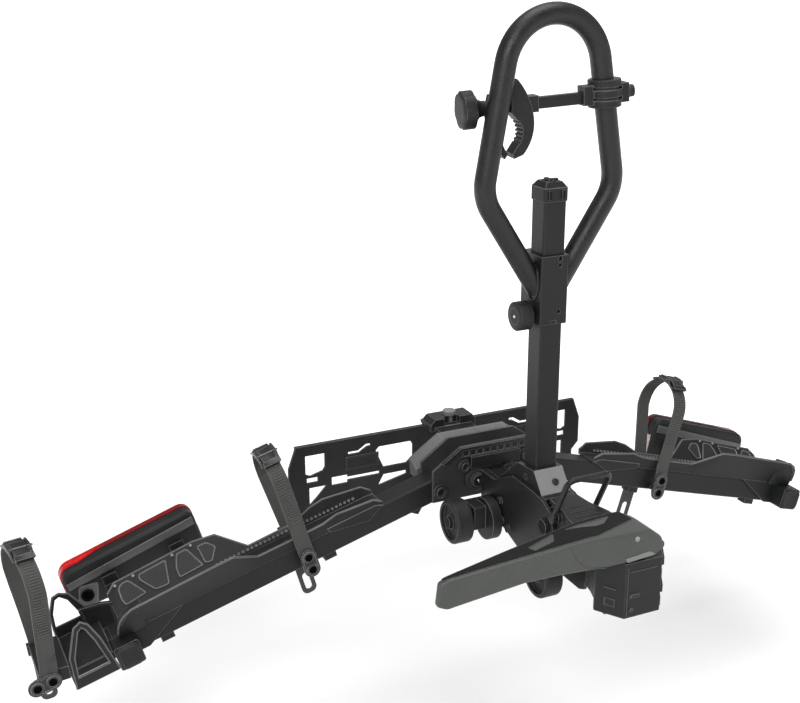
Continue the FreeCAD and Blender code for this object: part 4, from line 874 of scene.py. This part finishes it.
# Socket head bolts and the two lock buttons on the wing plates
bolts = {"front": 346.7, "rear": 405.3,
         "spots": [(-96, -4, 9.2), (96, -4, 9.2), (-54, 31, 8.2), (54, 31, 8.2)]}
locks = {"x": 32.0, "z": 5.0, "front": 343.7, "ringY": 352.6, "ringRadius": 20.5,
         "rimSteps": ((1.4, 1.0), (2.0, -0.4), (2.4, -0.6)), "dotSteps": ((0.8, 0.7), (0.8, 0.3)),
         "ringSteps": ((1.8, 1.2), (1.6, 0), (1.2, -3.6))}


def socketBolt(x, y, z, radius, way):
    out = Vector((0, way, 0))
    head = startRod("bolt", (x, y + way * 0.6, z), "y", radius, 2.4, 36)
    eased(stepped(head, out, ((1.1, 0.9), (radius * 0.24, 0), (0.4, -2.6))), 0.3)
    collar = startRod("bolt", (x, y - way * 3.2, z), "y", radius + 2.6, 1.6, 36)
    return [head, stepped(collar, out, ((1.0, 0.6),))]


def plateBolts(bolts):
    made = []
    for x, z, radius in bolts["spots"]:
        made += socketBolt(x, bolts["front"], z, radius, -1)
        made += socketBolt(x, bolts["rear"], z, radius, 1)
    return carried(gathered("plateBolts", made), "carrier", boltBlack)


def lockFace(locks, word, side):
    x, z, body = side * locks["x"], locks["z"], word + "_wing_lock"
    rim = startRod("lockRim" + word.capitalize(), (x, locks["front"] + 0.6, z), "y", 11.0, 2.0, 40)
    carried(stepped(rim, toFront, locks["rimSteps"]), body, mouldedBlack)
    dot = startRod("lockDot" + word.capitalize(), (x, locks["front"] - 0.2, z), "y", 2.6, 2.0, 20)
    carried(stepped(dot, toFront, locks["dotSteps"]), body, brightPin)


def lockRings(locks):
    # Fixed rims round the two lock buttons
    made = []
    for word, side in bothSides:
        spot = (side * locks["x"], locks["ringY"], locks["z"])
        ring = startRod("ring", spot, "y", locks["ringRadius"], 5.0, 56)
        made.append(eased(stepped(ring, toFront, locks["ringSteps"]), 0.4, 2, 30))
    return carried(gathered("lockRings", made), "carrier", mouldedBlack)


plateBolts(bolts)
for word, side in bothSides:
    lockFace(locks, word, side)
lockRings(locks)

# Hand knobs: a lobed one on the claw and a fine ribbed one on the collar
clawKnob = {"start": 192.0, "depth": 15.0, "radius": 26.0, "lobes": 7, "flute": 2.2, "inside": 18.0,
            "base": (82.337, 215.0, 610.0), "yaw": 8.9, "drop": 3.6,
            "face": ((0.8, 0.9), (1.6, 0.9), (4.0, 0.7), (5.0, 0.2)),
            "back": ((0.8, 0.9), (2.4, 1.1), (6.0, 2.6), (4.6, 4.2), (1.6, 4.4), (0.3, 5.0))}
collarKnob = {"x": -44.8, "depth": 18.5, "y": 222.0, "z": 309.0, "radius": 21.0, "lobes": 36, "flute": 0.4,
              "inside": 19.8, "face": ((0.6, 0.7), (1.4, 0.8), (7.0, 0.4), (0.6, -0.5), (1.4, 0)),
              "back": ((1.6, 1.0),), "stem": ((0, 0, -4), "z", 9.5, 10.0, 40),
              "dot": ((0, 0, 19.5), "z", 2.4, 2.6, 20)}


def knobDisc(name, knob, sides):
    # Waves the side wall of a stepped disc, less and less towards its middle
    disc = startRod(name, (0, 0, knob["depth"] / 2), "z", knob["radius"], knob["depth"], sides)
    stepped(disc, toTop, knob["face"])
    stepped(disc, toBase, knob["back"])
    for vertex in disc.data.vertices:
        reach = math.hypot(vertex.co.x, vertex.co.y)
        share = min(1.0, max(0.0, (reach / mm - knob["inside"]) / (knob["radius"] - knob["inside"])))
        if share > 0:
            wave = (0.5 + 0.5 * math.cos(knob["lobes"] * math.atan2(vertex.co.y, vertex.co.x))) ** 2
            pull = 1 - share * knob["flute"] * mm / reach * wave
            vertex.co.x *= pull
            vertex.co.y *= pull
    disc.data.update()
    return disc


def clawKnobPiece(knob):
    disc = knobDisc("clawKnob", knob, 96)
    lay = turned(180 - knob["yaw"], "Z") @ turned(knob["drop"], "Y") @ turned(90, "Y")
    moved(disc, shifted(*knob["base"]) @ lay @ shifted(0, 0, knob["start"]))
    carried(disc, "claw_screw", mouldedBlack)
    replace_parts(disc, "claw_knob")


def collarKnobPiece(knob):
    disc = knobDisc("collarKnob", knob, 144)
    stem = eased(startRod("collarStem", *knob["stem"]), 0.8)
    dot = eased(startRod("collarDot", *knob["dot"]), 0.6)
    for piece in (disc, stem, dot):
        moved(piece, shifted(knob["x"] + knob["depth"], knob["y"], knob["z"]) @ turned(-90, "Y"))
    body = carried(gathered("collarKnob", [disc, stem]), "collar_screw", mouldedBlack)
    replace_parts(body, "collar_knob")
    carried(dot, "collar_screw", brightPin)


clawKnobPiece(clawKnob)
collarKnobPiece(collarKnob)
print("bolts and knobs made")

# Cross and tabs on the mast cap
cap = {"bars": [((-12, 211.8, 494), (12, 218.2, 502)), ((-3.2, 203, 494), (3.2, 227, 502))],
       "tabs": [((-13.5, 193.5, 476), (-7.5, 197, 490)), ((7.5, 193.5, 476), (13.5, 197, 490))]}


def capCross(cap):
    made = []
    for low, high in cap["bars"]:
        made.append(eased(stepped(startBlock("bar", low, high), toTop, ((1.0, 0.4),)), 0.8))
    for low, high in cap["tabs"]:
        made.append(eased(startBlock("tab", low, high), 0.8))
    return carried(gathered("capCross", made), "mast", inlayBlack)


capCross(cap)

# Coupling: two thin seams on the front face, and steps on both flanks (height, depth, half length, tall)
cheeks = {"seams": [((-25.6, -50.7, -31), (-24.4, -49.5, 40)), ((-22, -50.8, 33), (20, -49.5, 34.4))],
          "x": 39.5, "y": -31.5, "turn": 58.1,
          "left": ((5, 1.1, 8, 2.2), (-20, 0.9, 8, 12.0)),
          "right": ((31, 3.0, 17, 12.0), (10, 1.2, 15, 13.0), (-9, 3.2, 17, 12.0), (-31, 1.6, 14, 14.0))}


def couplingRelief(cheeks):
    made = []
    for low, high in cheeks["seams"]:
        made.append(eased(startBlock("seam", low, high), 0.35))
    for word, side in bothSides:
        place = shifted(side * cheeks["x"], cheeks["y"], 0) @ turned(side * cheeks["turn"], "Z")
        for z, depth, reach, tall in cheeks[word]:
            step = startBlock("step", (-reach, -depth, z), (reach, 0.6, z + tall))
            if word == "left":
                stepped(step, toFront, ((0.9, 0), (0.4, -0.7)))
            made.append(moved(eased(step, 0.5), place))
    return carried(gathered("couplingRelief", made), "coupling", castDark)


couplingRelief(cheeks)

# Ribs across the neck's cover, each a little shorter than the one before
ribs = {"count": 4, "first": 68, "step": 15, "half": 21, "wide": 3, "low": 52.5, "top": 54.0}


def neckRibs(ribs):
    made = []
    for index in range(ribs["count"]):
        y, half = ribs["first"] + ribs["step"] * index, ribs["half"] - index
        rib = startBlock("rib", (-half, y, ribs["low"]), (half, y + ribs["wide"], ribs["top"]))
        made.append(eased(rib, 0.5))
    return carried(gathered("neckRibs", made), "coupling", inlayBlack)


neckRibs(ribs)

# Weld bead where each leg of the loop meets the collar's side
weld = {"x": 22.6, "y": 215, "z": 358, "halfY": 15.2, "halfZ": 26, "points": 28, "wave": 0.02, "radius": 1.6}


def loopWelds(weld):
    made = []
    for word, side in bothSides:
        points = []
        for index in range(weld["points"]):
            angle = 2 * math.pi * index / weld["points"]
            wave = 1 + weld["wave"] * math.sin(index * 2.4)
            points.append((side * weld["x"], weld["y"] + weld["halfY"] * wave * math.cos(angle),
                           weld["z"] + weld["halfZ"] * wave * math.sin(angle)))
        made.append(bead("weld", points, weld["radius"], True))
    return carried(gathered("loopWelds", made), "slider", tubeSteel)


loopWelds(weld)

# Bail: a bent rod whose legs turn on the ears of the neck
bail = {"y": 121.0, "z": 38.5, "half": 34.0, "reach": 80.0, "corner": 11.0, "radius": 4.2, "lean": 27.0,
        "eye": 7.6, "eyeLength": 8.4}


def bailRod(bail):
    line = [(-bail["half"], 0, 0), (-bail["half"], 0, bail["reach"] - bail["corner"])]
    for step in range(1, 7):
        angle = math.radians(15 * step)
        line.append((-bail["half"] + bail["corner"] * (1 - math.cos(angle)), 0,
                     bail["reach"] - bail["corner"] * (1 - math.sin(angle))))
    line += [(-x, y, z) for x, y, z in reversed(line)]
    made = [bead("bail", line, bail["radius"])]
    for word, side in bothSides:
        eye = startRod("eye", (side * bail["half"], 0, 0), "x", bail["eye"], bail["eyeLength"])
        made.append(eased(eye, 1.2, 3))
    piece = moved(gathered("bailRod", made), shifted(0, bail["y"], bail["z"]) @ turned(bail["lean"], "X"))
    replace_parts(carried(piece, "bail", tubeSteel), "tilt_bail")


bailRod(bail)

# Raised fields and rolled edge on the plate holder
holder = {"y": 537.4, "fields": ((118, 178), (-178, -118)), "low": -28, "top": -4, "radius": 1.4,
          "shrinkX": 0.996, "shrinkZ": 0.985, "steps": ((1.6, 0.5), (1.2, 0), (0.6, -0.6)),
          "edge": [(-266, 28), (266, 28), (279, -8), (279, -56), (266, -70), (266, -94), (-266, -94),
                   (-266, -70), (-279, -56), (-279, -8)]}


def holderTrim(holder):
    y = holder["y"]
    line = [(x * holder["shrinkX"], y + 1.6, z * holder["shrinkZ"]) for x, z in holder["edge"]]
    made = [bead("edge", line, holder["radius"], True)]
    for start, end in holder["fields"]:
        panel = startBlock("panel", (start, y - 0.6, holder["low"]), (end, y + 1, holder["top"]))
        made.append(eased(stepped(panel, toFront, holder["steps"]), 0.4))
    return carried(gathered("holderTrim", made), "plate_holder", mouldedBlack)


holderTrim(holder)
print("trim made")

# Coupling lever: an olive grey shell, a black inlay on its top, a seam, a ledge and a rivet
lever = {"front": -54.0, "depth": 64.0, "bend": -20.0, "backTip": -43.0, "backHead": 10.0, "soft": 4.0,
         "cutAt": (26, -44, 0), "cutWay": (0.891, 0.454, 0),
         "side": [(-303, 53), (-289, 46.5), (-183, 57), (-131, 56), (-61, 51), (10, 51), (23, 58), (26, 68),
                  (22, 78), (5, 91), (-80, 96), (-117, 95), (-216, 90), (-285, 86), (-299, 83)],
         "top": [(-297, 84.6), (-285, 86), (-216, 90), (-117, 95), (-80, 96), (5, 91), (12, 86)],
         "rise": 0.7, "sink": 6.0, "under": 70, "over": 40,
         "inlay": [(-296, -49.6), (-130, -48.6), (-74, -47.0), (0, -18.0), (-4, 8), (-22, 8.2),
                   (-294, -43.6)],
         "windows": [[(-166, -32), (-122, -17), (-130, -33), (-162, -42)],
                     [(-101, -14), (-27, -1), (-45, -17), (-58, -20)]],
         "seam": [(-119, 94), (-115, 88), (-111, 78), (-104.8, 70), (-98, 63), (-90, 57.6), (-64, 51.6)],
         "ledge": [(-34, 57.5), (4, 61), (14, 55), (-30, 51.6)],
         "rivet": ((-17.5, -54.2, 83.0), "y", 3.6, 2.4, 28), "rivetSteps": ((1.0, 0.8), (1.0, 0.4)),
         "nub": ((20.5, -49.0, 65.5), "y", 7.0, 9.0)}


def trimmed(piece, name, plan, corner, steps, operation):
    # Cuts the piece with an upright block that stands on a plan
    block = startSlab(name, [(x, y, lever["under"]) for x, y in plan], (0, 0, lever["over"]), corner, steps)
    active(piece)
    cut = piece.modifiers.new("cut", "BOOLEAN")
    cut.object = block
    cut.operation = operation
    bpy.ops.object.modifier_apply(modifier="cut")
    bpy.data.objects.remove(block)


def leverShell(lever):
    shell = startSlab("leverShell", upright(lever["side"], lever["front"]), (0, lever["depth"], 0))
    tip = lever["side"][0][0]
    for vertex in shell.data.vertices:
        # Draws the back of the lever in towards its tip
        if vertex.co.y > (lever["front"] + 1) * mm:
            share = (vertex.co.x / mm - tip) / (lever["bend"] - tip)
            back = lever["backTip"] + share * (lever["backHead"] - lever["backTip"])
            vertex.co.y = min(lever["backHead"], back) * mm
    shell.data.update()
    editAll(shell)
    bpy.ops.mesh.bisect(plane_co=Vector(lever["cutAt"]) * mm, plane_no=lever["cutWay"], use_fill=True,
                        clear_outer=True)
    doneEditing()
    eased(shell, lever["soft"], 5, 22)
    nub = eased(startRod("nub", *lever["nub"]), 1.6, 3)
    piece = carried(gathered("leverShell", [shell, nub]), "lever", leverAlloy)
    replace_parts(piece, "coupling_lever")


def leverInlay(lever):
    line = [(x, lever["front"], z + lever["rise"]) for x, z in lever["top"]]
    line += [(x, lever["front"], z - lever["sink"]) for x, z in reversed(lever["top"])]
    inlay = startSlab("leverInlay", line, (0, lever["depth"], 0))
    trimmed(inlay, "plan", lever["inlay"], 3, 3, "INTERSECT")
    for window in lever["windows"]:
        trimmed(inlay, "hole", window, 1.5, 2, "DIFFERENCE")
    return carried(inlay, "lever", inlayBlack, angle=25)


def leverMarks(lever):
    front = lever["front"]
    seam = bead("leverSeam", upright(lever["seam"], front + 0.1), 0.55)
    carried(seam, "lever", inlayBlack)
    ledge = startSlab("leverLedge", upright(lever["ledge"], front - 0.6), (0, 3, 0), 1.2, 2)
    carried(eased(ledge, 0.8, 2, 30), "lever", ledgeAlloy)
    rivet = startRod("leverRivet", *lever["rivet"])
    carried(stepped(rivet, toFront, lever["rivetSteps"]), "lever", rivetGrey)


leverShell(lever)
leverInlay(lever)
leverMarks(lever)
print("lever made")

# Floor, lights and camera
studio = {"floorLevel": -0.43, "floorSize": 60.0, "floorTone": 0.8, "lift": 0.2, "worldLight": 0.36,
          "fadeFrom": 0.9, "fadeStep": 0.55,
          "lamps": [("keyLamp", (-2.4, -2.6, 2.4), 2.0, 110.0), ("fillLamp", (2.6, -2.2, 1.5), 2.2, 11.0),
                    ("topLamp", (0.2, 0.2, 3.2), 2.6, 75.0), ("backLamp", (1.6, 3.2, 1.8), 2.0, 12.0)],
          "aim": (0.0, 0.3, 0.2)}
view = {"spot": (-0.8941, -1.2262, 0.8153), "forward": (0.4041, 0.8595, -0.3130), "lens": 55.88,
        "sensor": 36.0, "shiftX": -0.0088, "shiftY": -0.0058, "roll": -0.1, "clip": (0.05, 200.0)}


def makeFloor(studio):
    calm()
    bpy.ops.mesh.primitive_plane_add(size=studio["floorSize"], location=(0, 0, studio["floorLevel"]))
    floor = bpy.context.object
    floor.name = "floor"
    finish = Finish(bpy.data.materials.new("paleFloor"))
    seen = finish.add("ShaderNodeLightPath", {}, {}, "Is Camera Ray")
    mirrored = finish.add("ShaderNodeLightPath", {}, {}, "Is Glossy Ray")
    reach = finish.add("ShaderNodeVectorMath", {"operation": "LENGTH"}, {0: finish.place()}, "Value")
    far = ((reach - studio["fadeFrom"]) * studio["fadeStep"]).clamped()
    matt = finish.add("ShaderNodeBsdfDiffuse", {}, {"Color": plain([studio["floorTone"]] * 3)})
    glow = (seen + mirrored).clamped() * (far + studio["lift"])
    lift = finish.add("ShaderNodeEmission", {}, {"Color": plain((1, 1, 1)), "Strength": glow})
    both = finish.add("ShaderNodeAddShader", {}, {0: matt, 1: lift})
    finish.add("ShaderNodeOutputMaterial", {}, {"Surface": both})
    floor.data.materials.append(finish.holder)


def makeWorld(studio):
    # White where the camera looks past the rack, dimmer for what it lights
    finish = Finish(bpy.data.worlds.new("studioWorld"))
    bpy.context.scene.world = finish.holder
    seen = finish.add("ShaderNodeLightPath", {}, {}, "Is Camera Ray")
    through = finish.add("ShaderNodeLightPath", {}, {}, "Is Transmission Ray")
    strength = finish.add("ShaderNodeMapRange", {}, {"Value": seen.sum("MAXIMUM", seen, through),
                                                     "To Min": studio["worldLight"], "To Max": 1.0})
    back = finish.add("ShaderNodeBackground", {}, {"Color": plain((1, 1, 1)), "Strength": strength})
    finish.add("ShaderNodeOutputWorld", {}, {"Surface": back})


def makeLamps(studio):
    for name, spot, size, power in studio["lamps"]:
        data = bpy.data.lights.new(name, "AREA")
        data.shape = "DISK"
        data.size = size
        data.energy = power
        light = bpy.data.objects.new(name, data)
        bpy.context.collection.objects.link(light)
        light.location = spot
        light.rotation_euler = (Vector(studio["aim"]) - Vector(spot)).to_track_quat("-Z", "Y").to_euler()


def makeCamera(view):
    data = bpy.data.cameras.new("photoCamera")
    camera = bpy.data.objects.new("photoCamera", data)
    bpy.context.collection.objects.link(camera)
    forward = Vector(view["forward"]).normalized()
    right = forward.cross(Vector((0, 0, 1))).normalized()
    turn = Matrix((right, right.cross(forward), -forward)).transposed().to_4x4()
    camera.matrix_world = Matrix.Translation(view["spot"]) @ turn @ turned(view["roll"], "Z")
    data.lens = view["lens"]
    data.sensor_width = view["sensor"]
    data.shift_x = view["shiftX"]
    data.shift_y = view["shiftY"]
    data.clip_start, data.clip_end = view["clip"]
    bpy.context.scene.camera = camera


makeFloor(studio)
makeWorld(studio)
makeLamps(studio)
makeCamera(view)
bpy.context.scene.view_settings.view_transform = "Standard"
print("floor, lamps and camera set")
